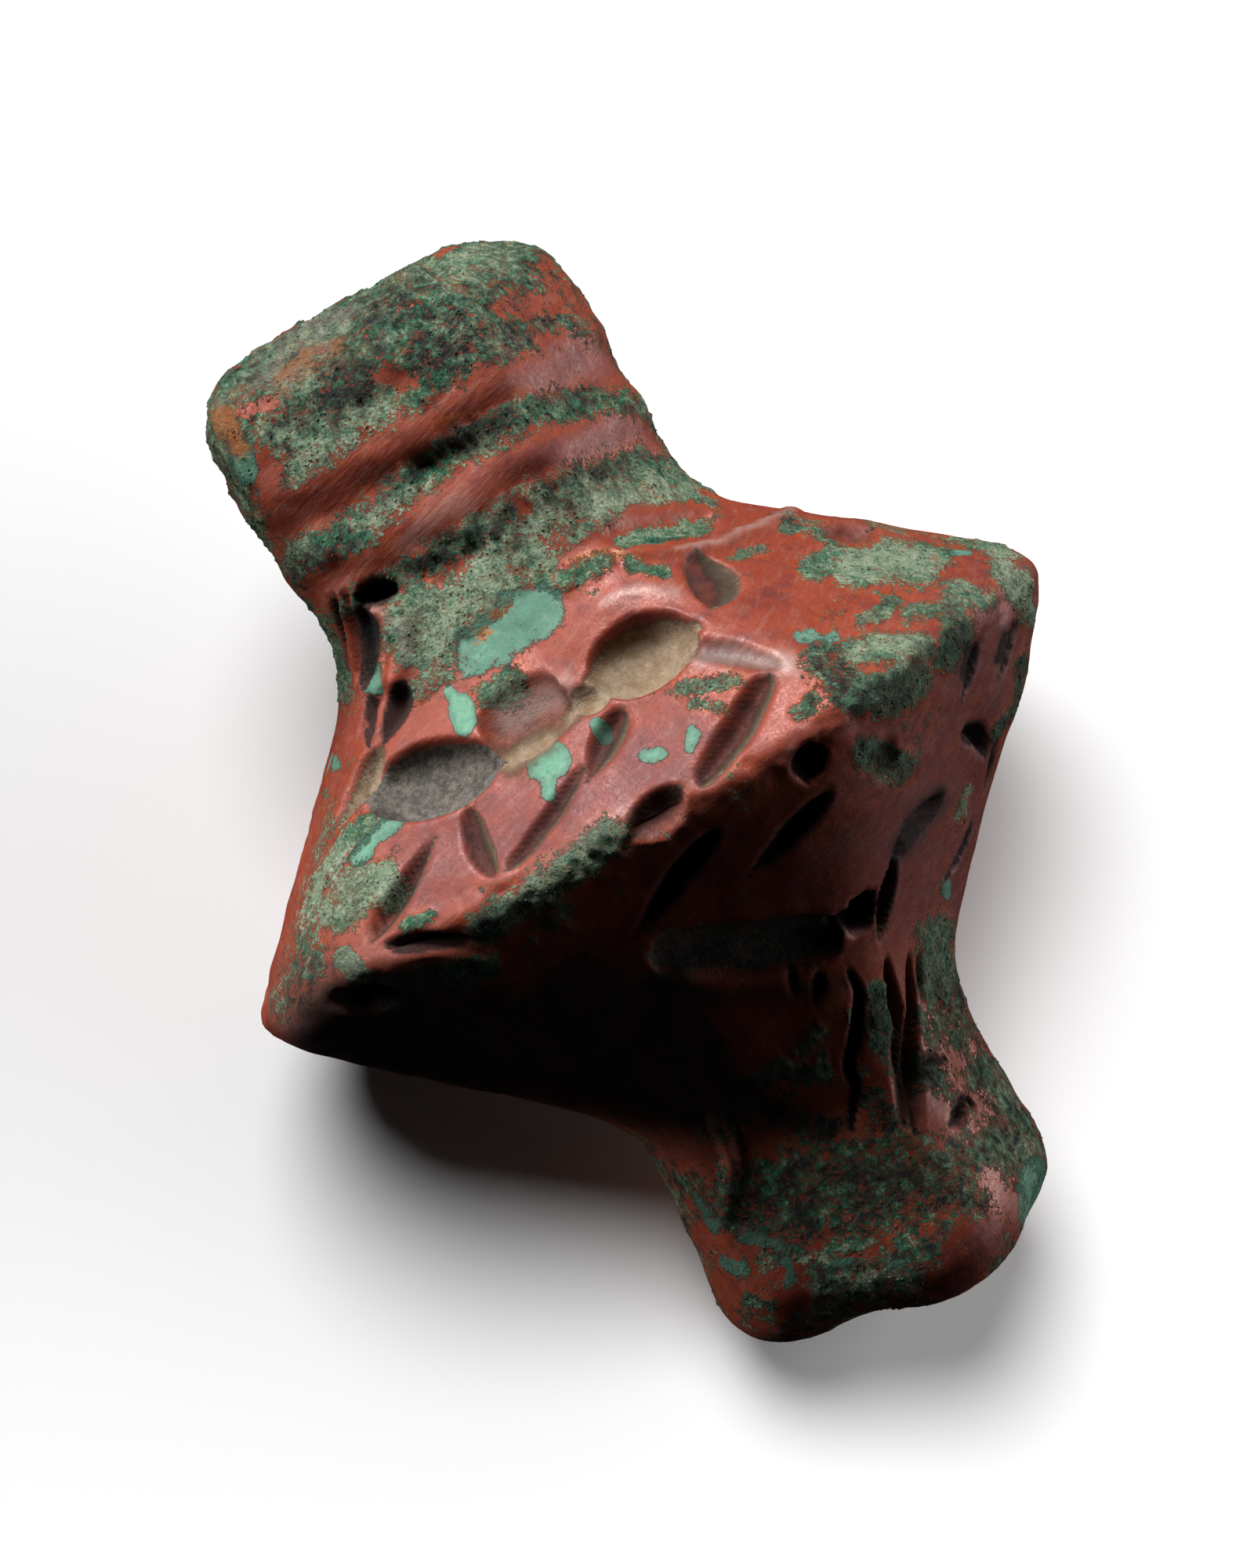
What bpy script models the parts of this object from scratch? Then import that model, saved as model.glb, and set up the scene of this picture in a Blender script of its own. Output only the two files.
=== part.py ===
"""A carved copper seal, one solid lump of metal.

The seal has six uneven sides. A blunt ridge runs round its middle, and from there it
draws in to two stubs, a thick head and a slimmer foot. Hollows and strokes cut into
the slopes on both sides of the ridge draw simple animals.

It is modelled along X, from the foot to the head. Then it is tilted until the ridge
and the foot touch one level, where each has a small worn flat, and it lies on those.
A turn is an angle round X, 0 at the top, growing towards +Y. A reach is a share of
the way from the ridge: 1 at the head's waist, 2 at its end, -1 and -2 at the foot's.
"""

import math
from typing import NamedTuple

import bmesh
import bpy
import numpy as np
from mathutils import Vector

MM = 0.001

# Lengths along the seal, all from the middle of the ridge.
HEAD_LENGTH = 23.5 * MM
FOOT_LENGTH = 22.8 * MM
HEAD_WAIST = 9.8 * MM
FOOT_WAIST = 12.0 * MM

# How far the broadest side is from the seal's axis at the ridge and at both ends.
RIDGE_HALF_WIDTH = 19.6 * MM
HEAD_HALF_WIDTH = 10.3 * MM
FOOT_HALF_WIDTH = 7.8 * MM

# How round the metal is where its stretches meet.
HEAD_ROUNDING = 4.4 * MM
FOOT_ROUNDING = 3.0 * MM
WAIST_FILLET = 1.9 * MM
RIDGE_BLUNTNESS = 1.2 * MM
SIDE_SHARPNESS = 11.0

# The flats that the seal has where it lies on the ridge and the foot.
FLAT_DEPTH = 0.2 * MM

# How finely the skin is faceted.
SEGMENTS_AROUND = 48
HEAD_SLOPE_RINGS = 10
FOOT_SLOPE_RINGS = 11
STUB_RINGS = 6
ROUNDING_RINGS = 4

# How far a cutter stands out of the skin, and its size at a pointed tip.
CUTTER_LIFT = 0.4 * MM
CUTTER_LIFT_SHARE = 0.3
CUTTER_TIP_SHARE = 0.12

COPPER_RED = (0.30, 0.07, 0.05, 1.0)
COPPER_ROUGHNESS = 0.5
COPPER_METALLIC = 0.2


class Side(NamedTuple):
    """One of the six sides: where it faces, and how far it is from the axis.

    The shift and the distance of the ridge are shares of the ridge's half width, and
    the distances of the head and the foot are shares of theirs.
    """

    turn: float
    ridge_shift: float
    head: float
    head_waist: float
    ridge: float
    foot_waist: float
    foot: float


SIDES = (
    Side(turn=180.0, ridge_shift=0.010, head=0.738, head_waist=0.738, ridge=0.786,
         foot_waist=0.872, foot=0.872),
    Side(turn=131.0, ridge_shift=-0.031, head=0.864, head_waist=0.757, ridge=0.888,
         foot_waist=0.795, foot=0.949),
    Side(turn=91.0, ridge_shift=-0.051, head=1.0, head_waist=0.816, ridge=1.0,
         foot_waist=0.821, foot=1.0),
    Side(turn=21.5, ridge_shift=0.020, head=0.757, head_waist=0.748, ridge=0.776,
         foot_waist=0.872, foot=0.872),
    Side(turn=-42.0, ridge_shift=0.056, head=0.670, head_waist=0.670, ridge=0.857,
         foot_waist=0.885, foot=0.923),
    Side(turn=-97.0, ridge_shift=0.036, head=0.641, head_waist=0.621, ridge=0.964,
         foot_waist=0.821, foot=0.949),
)


class Tool(NamedTuple):
    """The cut that one tool leaves.

    The cut is widest at the middle of its path where skew is 1, and nearer its start
    where skew is less. Fullness is 0 for a slot with square ends and 1 for a pointed
    one. Roundness is 1 for a V, 2 for a round bottom and more for a flat floor.
    """

    skew: float
    fullness: float
    roundness: float
    slices: int
    facets: int


HOLLOW = Tool(skew=1.0, fullness=0.45, roundness=2.4, slices=7, facets=6)
DRILL = Tool(skew=1.0, fullness=0.5, roundness=2.2, slices=5, facets=4)
GOUGE = Tool(skew=0.7, fullness=0.8, roundness=1.2, slices=4, facets=4)
GROOVE = Tool(skew=1.0, fullness=0.35, roundness=1.3, slices=4, facets=4)


class Stroke(NamedTuple):
    """One cut: its tool, the (turn, reach) points it passes, its width and depth."""

    name: str
    tool: Tool
    path: tuple
    width: float
    depth: float


HEAD_SIDE_ANIMAL = (
    Stroke("haunch", HOLLOW, ((15, 0.62), (-10, 0.60)), 3.9 * MM, 1.3 * MM),
    Stroke("flank", DRILL, ((20, 0.58), (11, 0.54)), 1.4 * MM, 0.6 * MM),
    Stroke("belly", HOLLOW, ((38, 0.55), (18, 0.60)), 3.0 * MM, 1.0 * MM),
    Stroke("chest", HOLLOW, ((60, 0.60), (35.5, 0.49)), 3.4 * MM, 1.0 * MM),
    Stroke("muzzle", HOLLOW, ((69, 0.54), (58, 0.74)), 1.7 * MM, 0.7 * MM),
    Stroke("ear", GOUGE, ((52, 0.92), (58, 0.75)), 1.1 * MM, 0.6 * MM),
    Stroke("mane", GROOVE, ((58, 0.95), (67, 0.81)), 0.6 * MM, 0.4 * MM),
    Stroke("foreleg", GOUGE, ((57, 0.13), (48, 0.35)), 0.9 * MM, 0.6 * MM),
    Stroke("near_leg", GROOVE, ((42, 0.38), (40, 0.06)), 1.0 * MM, 0.5 * MM),
    Stroke("far_leg", GROOVE, ((21, 0.31), (36, 0.11)), 0.7 * MM, 0.4 * MM),
    Stroke("knee", GOUGE, ((11, 0.42), (22, 0.27)), 1.2 * MM, 0.6 * MM),
    Stroke("thigh", GROOVE, ((-5, 0.53), (-13, 0.34)), 1.2 * MM, 0.5 * MM),
    Stroke("hind_leg", GROOVE, ((-10, 0.33), (7, 0.08)), 1.4 * MM, 0.7 * MM),
    Stroke("tail", GOUGE, ((-25, 0.75), (-6, 0.62)), 1.6 * MM, 0.5 * MM),
)

FOOT_SIDE_ANIMAL = (
    Stroke("body", HOLLOW, ((28, -0.38), (-8, -0.66)), 3.1 * MM, 1.2 * MM),
    Stroke("shoulder", DRILL, ((-8, -0.60), (-15, -0.60)), 1.8 * MM, 1.5 * MM),
    Stroke("neck", GOUGE, ((-24, -0.53), (-16, -0.73)), 1.2 * MM, 1.1 * MM),
    Stroke("horn", GROOVE, ((-42, -0.44), (-30, -0.46), (-22, -0.58)), 1.0 * MM, 0.7 * MM),
    Stroke("back_spear", GOUGE, ((2, -0.08), (28, -0.32)), 1.0 * MM, 0.7 * MM),
    Stroke("neck_spear", GOUGE, ((-11, -0.17), (2, -0.28)), 1.0 * MM, 0.6 * MM),
    Stroke("first_teat", GOUGE, ((6, -0.69), (7, -0.77)), 0.6 * MM, 0.4 * MM),
    Stroke("second_teat", GOUGE, ((0, -0.75), (2, -0.86)), 0.6 * MM, 0.5 * MM),
    Stroke("shin_crease", GROOVE, ((-7, -0.77), (-3, -0.98), (8, -1.27)), 0.5 * MM, 0.4 * MM),
    Stroke("shin", GROOVE, ((-15, -0.80), (-9, -1.05), (1, -1.30)), 1.2 * MM, 0.6 * MM),
    Stroke("front_shin", GROOVE, ((-25, -0.80), (-20, -1.11), (-7, -1.34)), 1.0 * MM, 0.7 * MM),
    Stroke("hock", GOUGE, ((-33, -0.86), (-31, -1.02)), 0.7 * MM, 0.5 * MM),
)

STUB_CUTS = (
    Stroke("neck_hole", DRILL, ((57, 1.23), (48, 1.17)), 0.9 * MM, 1.2 * MM),
    Stroke("neck_channel", GROOVE, ((53, 1.23), (62, 0.95)), 1.7 * MM, 0.8 * MM),
    Stroke("neck_slit", GOUGE, ((63, 1.26), (78, 1.06)), 0.7 * MM, 0.6 * MM),
    Stroke("neck_crack", GROOVE, ((60, 0.76), (69, 0.56), (78, 0.42)), 0.4 * MM, 0.3 * MM),
    Stroke("foot_crease", GROOVE, ((38, -1.08), (47, -1.33)), 0.7 * MM, 0.3 * MM),
)

RIDGE_CUTS = (
    Stroke("ridge_bite", HOLLOW, ((8, 0.10), (19, -0.05)), 1.9 * MM, 0.9 * MM),
    Stroke("ridge_wedge", GOUGE, ((43, -0.03), (55, 0.05)), 1.4 * MM, 0.8 * MM),
    Stroke("corner_notch", HOLLOW, ((66, 0.01), (57, -0.09)), 1.6 * MM, 0.7 * MM),
    Stroke("small_pit", DRILL, ((-6, -0.02), (-10, -0.04)), 1.3 * MM, 0.6 * MM),
    Stroke("broad_pit", DRILL, ((-16, -0.17), (-23, -0.17)), 1.9 * MM, 0.4 * MM),
    Stroke("shoulder_dip", HOLLOW, ((-54, 0.60), (-61, 0.46)), 2.2 * MM, 0.7 * MM),
    Stroke("first_nick", GOUGE, ((-51, 0.04), (-48, -0.13)), 1.0 * MM, 0.6 * MM),
    Stroke("second_nick", GOUGE, ((-60, 0.04), (-59, -0.09)), 0.8 * MM, 0.5 * MM),
    Stroke("edge_pit", DRILL, ((-53, -0.27), (-62, -0.40)), 1.4 * MM, 0.7 * MM),
    Stroke("edge_slot", GROOVE, ((-61, -0.18), (-61, -0.38)), 0.7 * MM, 0.4 * MM),
    Stroke("waist_slit", GOUGE, ((-60, -0.59), (-50, -0.71)), 0.6 * MM, 0.4 * MM),
)

HIDDEN_SIDE_CUTS = (
    Stroke("left_haunch", HOLLOW, ((142, 0.62), (120, 0.58)), 3.2 * MM, 1.0 * MM),
    Stroke("left_chest", HOLLOW, ((115, 0.56), (100, 0.52)), 2.4 * MM, 0.8 * MM),
    Stroke("left_hind_leg", GROOVE, ((139, 0.38), (134, 0.10)), 0.9 * MM, 0.5 * MM),
    Stroke("left_foreleg", GROOVE, ((114, 0.36), (110, 0.10)), 0.9 * MM, 0.5 * MM),
    Stroke("left_spear", GOUGE, ((118, -0.18), (142, -0.52)), 1.0 * MM, 0.6 * MM),
    Stroke("left_body", HOLLOW, ((108, -0.48), (126, -0.62)), 2.2 * MM, 0.8 * MM),
    Stroke("right_body", HOLLOW, ((-84, 0.58), (-106, 0.60)), 3.2 * MM, 1.0 * MM),
    Stroke("right_foreleg", GROOVE, ((-86, 0.36), (-84, 0.10)), 0.9 * MM, 0.5 * MM),
    Stroke("right_hind_leg", GROOVE, ((-104, 0.36), (-106, 0.10)), 0.9 * MM, 0.5 * MM),
    Stroke("right_spear", GOUGE, ((-86, -0.20), (-100, -0.52)), 1.0 * MM, 0.6 * MM),
    Stroke("right_slash", GOUGE, ((-106, -0.18), (-114, -0.45)), 0.9 * MM, 0.5 * MM),
)

STROKES = HEAD_SIDE_ANIMAL + FOOT_SIDE_ANIMAL + STUB_CUTS + RIDGE_CUTS + HIDDEN_SIDE_CUTS


def blend_high(first, second, softness):
    """The larger of two distances, with the corner between them rounded."""
    return 0.5 * (first + second + np.sqrt((first - second) ** 2 + softness ** 2))


def blend_low(first, second, softness):
    """The smaller of two distances, with the corner between them rounded."""
    return 0.5 * (first + second - np.sqrt((first - second) ** 2 + softness ** 2))


def line_through(along, first, first_value, second, second_value):
    """The value at a place along the seal of a straight line through two places."""
    return first_value + (second_value - first_value) * (along - first) / (second - first)


def side_distance(side, along):
    """How far a side is from the axis, before the ends are rounded."""
    ridge_place = side.ridge_shift * RIDGE_HALF_WIDTH
    ridge = side.ridge * RIDGE_HALF_WIDTH
    head_waist = side.head_waist * HEAD_HALF_WIDTH
    head_end = side.head * HEAD_HALF_WIDTH
    foot_waist = side.foot_waist * FOOT_HALF_WIDTH
    foot_end = side.foot * FOOT_HALF_WIDTH
    head_stub = line_through(along, HEAD_WAIST, head_waist, HEAD_LENGTH, head_end)
    head_slope = line_through(along, ridge_place, ridge, HEAD_WAIST, head_waist)
    foot_stub = line_through(along, -FOOT_WAIST, foot_waist, -FOOT_LENGTH, foot_end)
    foot_slope = line_through(along, ridge_place, ridge, -FOOT_WAIST, foot_waist)
    towards_head = blend_high(head_stub, head_slope, WAIST_FILLET)
    towards_foot = blend_high(foot_stub, foot_slope, WAIST_FILLET)
    return blend_low(towards_head, towards_foot, RIDGE_BLUNTNESS)


def rounding_loss(overshoot, rounding):
    """How much a quarter-round rim takes off, this far into its rounding."""
    inside = np.clip(overshoot, 0.0, rounding)
    return rounding - np.sqrt(rounding ** 2 - inside ** 2)


def skin_radius(turn, along):
    """Distance of the skin from the axis at a turn in degrees and a place along."""
    loss = rounding_loss(along - (HEAD_LENGTH - HEAD_ROUNDING), HEAD_ROUNDING)
    loss = loss + rounding_loss(-along - (FOOT_LENGTH - FOOT_ROUNDING), FOOT_ROUNDING)
    total = 0.0
    for side in SIDES:
        facing = np.maximum(np.cos(np.radians(turn - side.turn)), 0.0)
        total = total + (facing / (side_distance(side, along) - loss)) ** SIDE_SHARPNESS
    return total ** (-1.0 / SIDE_SHARPNESS)


def skin_point(turn, along):
    """The point of the skin at a turn in degrees and a place along."""
    radius = skin_radius(turn, along)
    angle = math.radians(turn)
    return Vector((along, radius * math.sin(angle), radius * math.cos(angle)))


def skin_normal(turn, along):
    """The outward direction of the skin there."""
    turn_step = 0.5
    along_step = 0.1 * MM
    around = skin_point(turn + turn_step, along) - skin_point(turn - turn_step, along)
    lengthwise = skin_point(turn, along + along_step) - skin_point(turn, along - along_step)
    return lengthwise.cross(around).normalized()


def place_along(reach):
    """The place along the seal, in metres, of a reach from -2 to 2."""
    places = (-FOOT_LENGTH, -FOOT_WAIST, 0.0, HEAD_WAIST, HEAD_LENGTH)
    return float(np.interp(reach, (-2.0, -1.0, 0.0, 1.0, 2.0), places))


def eased_steps(first, last, count):
    """Places from first to last, set closer together at both ends."""
    share = 0.5 - 0.5 * np.cos(np.pi * np.arange(count + 1) / count)
    return first + (last - first) * share


def rim_steps(length, rounding):
    """Places over the rounding of an end, at even steps of the quarter turn."""
    angles = np.linspace(0.0, 0.5 * np.pi, ROUNDING_RINGS + 1)
    return (length - rounding) + rounding * np.sin(angles)


def ring_places():
    """Where the skin's rings lie along the seal, from the foot's end to the head's."""
    places = np.concatenate((
        -rim_steps(FOOT_LENGTH, FOOT_ROUNDING)[::-1],
        eased_steps(-(FOOT_LENGTH - FOOT_ROUNDING), -FOOT_WAIST, STUB_RINGS)[1:],
        eased_steps(-FOOT_WAIST, 0.0, FOOT_SLOPE_RINGS)[1:],
        eased_steps(0.0, HEAD_WAIST, HEAD_SLOPE_RINGS)[1:],
        eased_steps(HEAD_WAIST, HEAD_LENGTH - HEAD_ROUNDING, STUB_RINGS)[1:],
        rim_steps(HEAD_LENGTH, HEAD_ROUNDING)[1:],
    ))
    return places


def skin_rings():
    """The points of the uncarved skin, ring by ring, as an array."""
    turns = np.arange(SEGMENTS_AROUND) * (360.0 / SEGMENTS_AROUND)
    return np.array([[skin_point(turn, along) for turn in turns] for along in ring_places()])


def mesh_from_rings(name, rings):
    """A closed mesh with one loop of faces between rings and a cap on each end."""
    shape = bmesh.new()
    loops = [[shape.verts.new(point) for point in ring] for ring in rings]
    count = len(loops[0])
    for lower, upper in zip(loops, loops[1:]):
        for index in range(count):
            after = (index + 1) % count
            shape.faces.new((lower[index], lower[after], upper[after], upper[index]))
    shape.faces.new(loops[0][::-1])
    shape.faces.new(loops[-1])
    bmesh.ops.recalc_face_normals(shape, faces=shape.faces)
    mesh = bpy.data.meshes.new(name)
    shape.to_mesh(mesh)
    shape.free()
    return mesh


def rest_tilt(points):
    """How far the head rises when the ridge and the foot touch one level."""
    on_foot = points[:, 0] < -FOOT_WAIST
    low = 0.0
    high = math.radians(60.0)
    for _ in range(40):
        tilt = 0.5 * (low + high)
        heights = points[:, 0] * math.sin(tilt) + points[:, 2] * math.cos(tilt)
        if heights[on_foot].min() > heights[~on_foot].min():
            low = tilt
        else:
            high = tilt
    return 0.5 * (low + high)


def resting_place(points, tilt):
    """The location that centres the tilted seal over the origin, its flats at zero."""
    lengthwise = points[:, 0] * math.cos(tilt) - points[:, 2] * math.sin(tilt)
    heights = points[:, 0] * math.sin(tilt) + points[:, 2] * math.cos(tilt)
    middle_x = 0.5 * (lengthwise.min() + lengthwise.max())
    middle_y = 0.5 * (points[:, 1].min() + points[:, 1].max())
    return Vector((-middle_x, -middle_y, -heights.min() - FLAT_DEPTH))


def stroke_centres(stroke):
    """The points of the skin, and its normals there, along the middle of a stroke."""
    marks = np.linspace(0.0, 1.0, len(stroke.path))
    turns = [turn for turn, _ in stroke.path]
    reaches = [reach for _, reach in stroke.path]
    shares = eased_steps(0.0, 1.0, stroke.tool.slices)
    centres = []
    normals = []
    for share in shares:
        turn = float(np.interp(share, marks, turns))
        along = place_along(np.interp(share, marks, reaches))
        centres.append(skin_point(turn, along))
        normals.append(skin_normal(turn, along))
    return shares, centres, normals


def stroke_section(tool, half_width, depth, lift):
    """The outline across a stroke, as (sideways, outwards) pairs: its lip, then its bowl."""
    flare = 1.0 + CUTTER_TIP_SHARE
    outline = [(-flare * half_width, lift), (flare * half_width, lift)]
    for step in range(tool.facets + 1):
        sideways = math.cos(math.pi * step / tool.facets)
        fall = max(1.0 - abs(sideways) ** tool.roundness, 0.0) ** (1.0 / tool.roundness)
        outline.append((sideways * half_width, -fall * depth))
    return outline


def stroke_cutter(stroke, parent):
    """A hidden solid that cuts one stroke out of the seal."""
    shares, centres, normals = stroke_centres(stroke)
    lift = CUTTER_LIFT + CUTTER_LIFT_SHARE * stroke.width
    rings = []
    last = len(centres) - 1
    for index, share in enumerate(shares):
        swell = math.sin(math.pi * share ** stroke.tool.skew)
        plan = max(max(swell, 0.0) ** stroke.tool.fullness, CUTTER_TIP_SHARE)
        ahead = centres[min(index + 1, last)] - centres[max(index - 1, 0)]
        sideways = normals[index].cross(ahead).normalized()
        outline = stroke_section(stroke.tool, 0.5 * plan * stroke.width,
                                 plan * stroke.depth, lift)
        rings.append([centres[index] + sideways * across + normals[index] * out
                      for across, out in outline])
    cutter = bpy.data.objects.new("cut_" + stroke.name, mesh_from_rings(stroke.name, rings))
    cutter.parent = parent
    cutter.hide_render = True
    cutter.display_type = "WIRE"
    return cutter


def flat_cutter():
    """A hidden block under the level that the seal lies on, which cuts its flats."""
    size = 2.0 * (HEAD_LENGTH + FOOT_LENGTH)
    shape = bmesh.new()
    bmesh.ops.create_cube(shape, size=size)
    bmesh.ops.translate(shape, verts=shape.verts, vec=(0.0, 0.0, -0.5 * size))
    mesh = bpy.data.meshes.new("rest_level")
    shape.to_mesh(mesh)
    shape.free()
    cutter = bpy.data.objects.new("rest_level", mesh)
    cutter.hide_render = True
    cutter.display_type = "WIRE"
    return cutter


def copper():
    """Corroded copper, red with cuprite."""
    material = bpy.data.materials.new("corroded_copper")
    material.use_nodes = True
    shader = material.node_tree.nodes["Principled BSDF"]
    shader.inputs["Base Color"].default_value = COPPER_RED
    shader.inputs["Roughness"].default_value = COPPER_ROUGHNESS
    shader.inputs["Metallic"].default_value = COPPER_METALLIC
    material.diffuse_color = COPPER_RED
    return material


def build_seal():
    """The seal at rest, with its carving and its flats cut by Boolean modifiers."""
    for old in list(bpy.data.objects):
        bpy.data.objects.remove(old)
    scene_objects = bpy.context.scene.collection
    rings = skin_rings()
    points = rings.reshape(-1, 3)
    tilt = rest_tilt(points)

    seal = bpy.data.objects.new("seal", mesh_from_rings("seal", rings))
    seal.rotation_euler = (0.0, -tilt, 0.0)
    seal.location = resting_place(points, tilt)
    seal.data.materials.append(copper())
    scene_objects.objects.link(seal)

    carving_tools = bpy.data.collections.new("carving_tools")
    scene_objects.children.link(carving_tools)
    for stroke in STROKES:
        carving_tools.objects.link(stroke_cutter(stroke, seal))
    carving = seal.modifiers.new("carving", "BOOLEAN")
    carving.operation = "DIFFERENCE"
    carving.solver = "EXACT"
    carving.operand_type = "COLLECTION"
    carving.collection = carving_tools

    rest_level = flat_cutter()
    scene_objects.objects.link(rest_level)
    flats = seal.modifiers.new("flats", "BOOLEAN")
    flats.operation = "DIFFERENCE"
    flats.solver = "EXACT"
    flats.object = rest_level
    return seal


build_seal()
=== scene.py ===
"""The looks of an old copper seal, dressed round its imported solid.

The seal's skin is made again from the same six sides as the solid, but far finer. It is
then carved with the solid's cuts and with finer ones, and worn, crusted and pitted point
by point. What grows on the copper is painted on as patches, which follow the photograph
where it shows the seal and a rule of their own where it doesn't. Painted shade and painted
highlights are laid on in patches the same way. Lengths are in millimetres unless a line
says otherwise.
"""

import logging
import math
from dataclasses import dataclass, field, replace
from enum import Enum
from typing import Any

import bpy
import numpy as np
from mathutils import Matrix, Vector, noise


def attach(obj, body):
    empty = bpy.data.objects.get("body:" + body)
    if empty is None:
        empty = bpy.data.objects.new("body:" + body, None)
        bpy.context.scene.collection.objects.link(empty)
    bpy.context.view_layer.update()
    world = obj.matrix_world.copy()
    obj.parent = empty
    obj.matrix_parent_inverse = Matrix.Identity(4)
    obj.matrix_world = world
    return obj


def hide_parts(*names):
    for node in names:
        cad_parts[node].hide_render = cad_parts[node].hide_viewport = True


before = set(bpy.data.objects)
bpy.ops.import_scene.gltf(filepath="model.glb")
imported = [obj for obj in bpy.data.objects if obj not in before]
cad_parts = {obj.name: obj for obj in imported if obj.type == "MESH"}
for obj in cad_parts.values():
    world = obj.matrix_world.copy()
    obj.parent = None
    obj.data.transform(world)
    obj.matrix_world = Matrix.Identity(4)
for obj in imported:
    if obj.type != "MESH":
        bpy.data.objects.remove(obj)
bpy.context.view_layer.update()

MM = 0.001  # metres
PHOTO_WIDTH = 1600
PHOTO_HEIGHT = 2000

log = logging.getLogger("copper_seal")

Array = np.ndarray
Point = tuple[float, float]
Triple = tuple[float, float, float]


def smooth_step(values: Array, low: float, high: float) -> Array:
    """A soft step from 0 at low to 1 at high.

    Args:
        values: The numbers to judge.
        low: Where the step starts.
        high: Where the step ends. It may be below low, for a falling step.

    Returns:
        One number from 0 to 1 for each value.
    """
    share = np.clip((values - low) / (high - low), 0.0, 1.0)
    return share * share * (3.0 - 2.0 * share)


def turn_from(turns: Array, middle: float) -> Array:
    """How far turns are from a middle one, from -180 to 180 degrees."""
    return (turns - middle + 180.0) % 360.0 - 180.0


def path_distance(points: Array, path: Array) -> tuple[Array, Array]:
    """How far points are from a path, and where along it they are nearest.

    Args:
        points: The points, one in each row.
        path: The corners of the path, one in each row, and at least two.

    Returns:
        The distances, and the shares of the path's length, from 0 to 1.
    """
    lengths = np.linalg.norm(np.diff(path, axis=0), axis=1)
    starts = np.concatenate(([0.0], np.cumsum(lengths)))
    nearest = np.full(len(points), np.inf)
    share = np.zeros(len(points))
    for index, length in enumerate(lengths):
        run = (path[index + 1] - path[index]) / length
        along = np.clip((points - path[index]) @ run, 0.0, length)
        distance = np.linalg.norm(points - path[index] - along[:, None] * run, axis=1)
        closer = distance < nearest
        nearest[closer] = distance[closer]
        share[closer] = (starts[index] + along[closer]) / starts[-1]
    return nearest, share


def path_offset(points: Array, out: Array, path: Array) -> tuple[Array, Array, Array]:
    """Like path_distance, but it tells the two sides of the path apart.

    Args:
        points: The points, one in each row.
        out: The outward direction of the surface at each point.
        path: The corners of the path, one in each row.

    Returns:
        The distances, the shares of the path's length, and 1 for each point to the left
        of the path as seen from outside, or -1.
    """
    half_step = 0.04
    distance, share = path_distance(points, path)
    marks = np.linspace(0.0, 1.0, len(path))

    def place(shares: Array) -> Array:
        """The places on the path at shares of its length."""
        return np.stack([np.interp(shares, marks, path[:, i]) for i in range(3)], axis=1)

    ahead = np.minimum(share + half_step, 1.0)
    run = place(ahead) - place(ahead - 2.0 * half_step)
    leftwards = np.sum(np.cross(out, run) * (points - place(share)), axis=1)
    return distance, share, np.where(leftwards > 0.0, 1.0, -1.0)


def put_in_scene(name: str, data: Any) -> bpy.types.Object:
    """Makes an object of a mesh, a lamp or a camera, and adds it to the scene.

    Args:
        name: The object's name.
        data: What it shows.

    Returns:
        The object.
    """
    made = bpy.data.objects.new(name, data)
    bpy.context.scene.collection.objects.link(made)
    return made


@dataclass(frozen=True)
class Grain:
    """Fractal noise through space, as natural metal and crust are uneven.

    Attributes:
        size: Size of the largest lumps in mm.
        octaves: How many sizes of lumps are laid over each other.
        seed: Which part of the endless noise is used.
    """

    size: float
    octaves: int = 4
    seed: float = 0.0

    def over(self, points: Array) -> Array:
        """Reads the noise. Each octave's lumps are half as large as the last one's.

        Args:
            points: The points in mm, one in each row.

        Returns:
            The noise at each point, about -1 to 1.
        """
        fall_off = 1.0
        finer_by = 2.0
        placed = (points / self.size + self.seed).tolist()
        return np.array([
            noise.fractal(Vector(point), fall_off, finer_by, self.octaves) for point in placed])


@dataclass(frozen=True)
class Side:
    """One of the six sides: the turn it faces, and how far it is from the axis.

    The shift and the distance of the ridge are shares of the ridge's half width, and
    the distances of the head and the foot are shares of theirs.
    """

    turn: float
    ridge_shift: float
    head: float
    head_waist: float
    ridge: float
    foot_waist: float
    foot: float


SIDES = (
    Side(turn=180.0, ridge_shift=0.010, head=0.738, head_waist=0.738, ridge=0.786,
         foot_waist=0.872, foot=0.872),
    Side(turn=131.0, ridge_shift=-0.031, head=0.864, head_waist=0.757, ridge=0.888,
         foot_waist=0.795, foot=0.949),
    Side(turn=91.0, ridge_shift=-0.051, head=1.0, head_waist=0.816, ridge=1.0,
         foot_waist=0.821, foot=1.0),
    Side(turn=21.5, ridge_shift=0.020, head=0.757, head_waist=0.748, ridge=0.776,
         foot_waist=0.872, foot=0.872),
    Side(turn=-42.0, ridge_shift=0.056, head=0.670, head_waist=0.670, ridge=0.857,
         foot_waist=0.885, foot=0.923),
    Side(turn=-97.0, ridge_shift=0.036, head=0.641, head_waist=0.621, ridge=0.964,
         foot_waist=0.821, foot=0.949),
)


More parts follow.
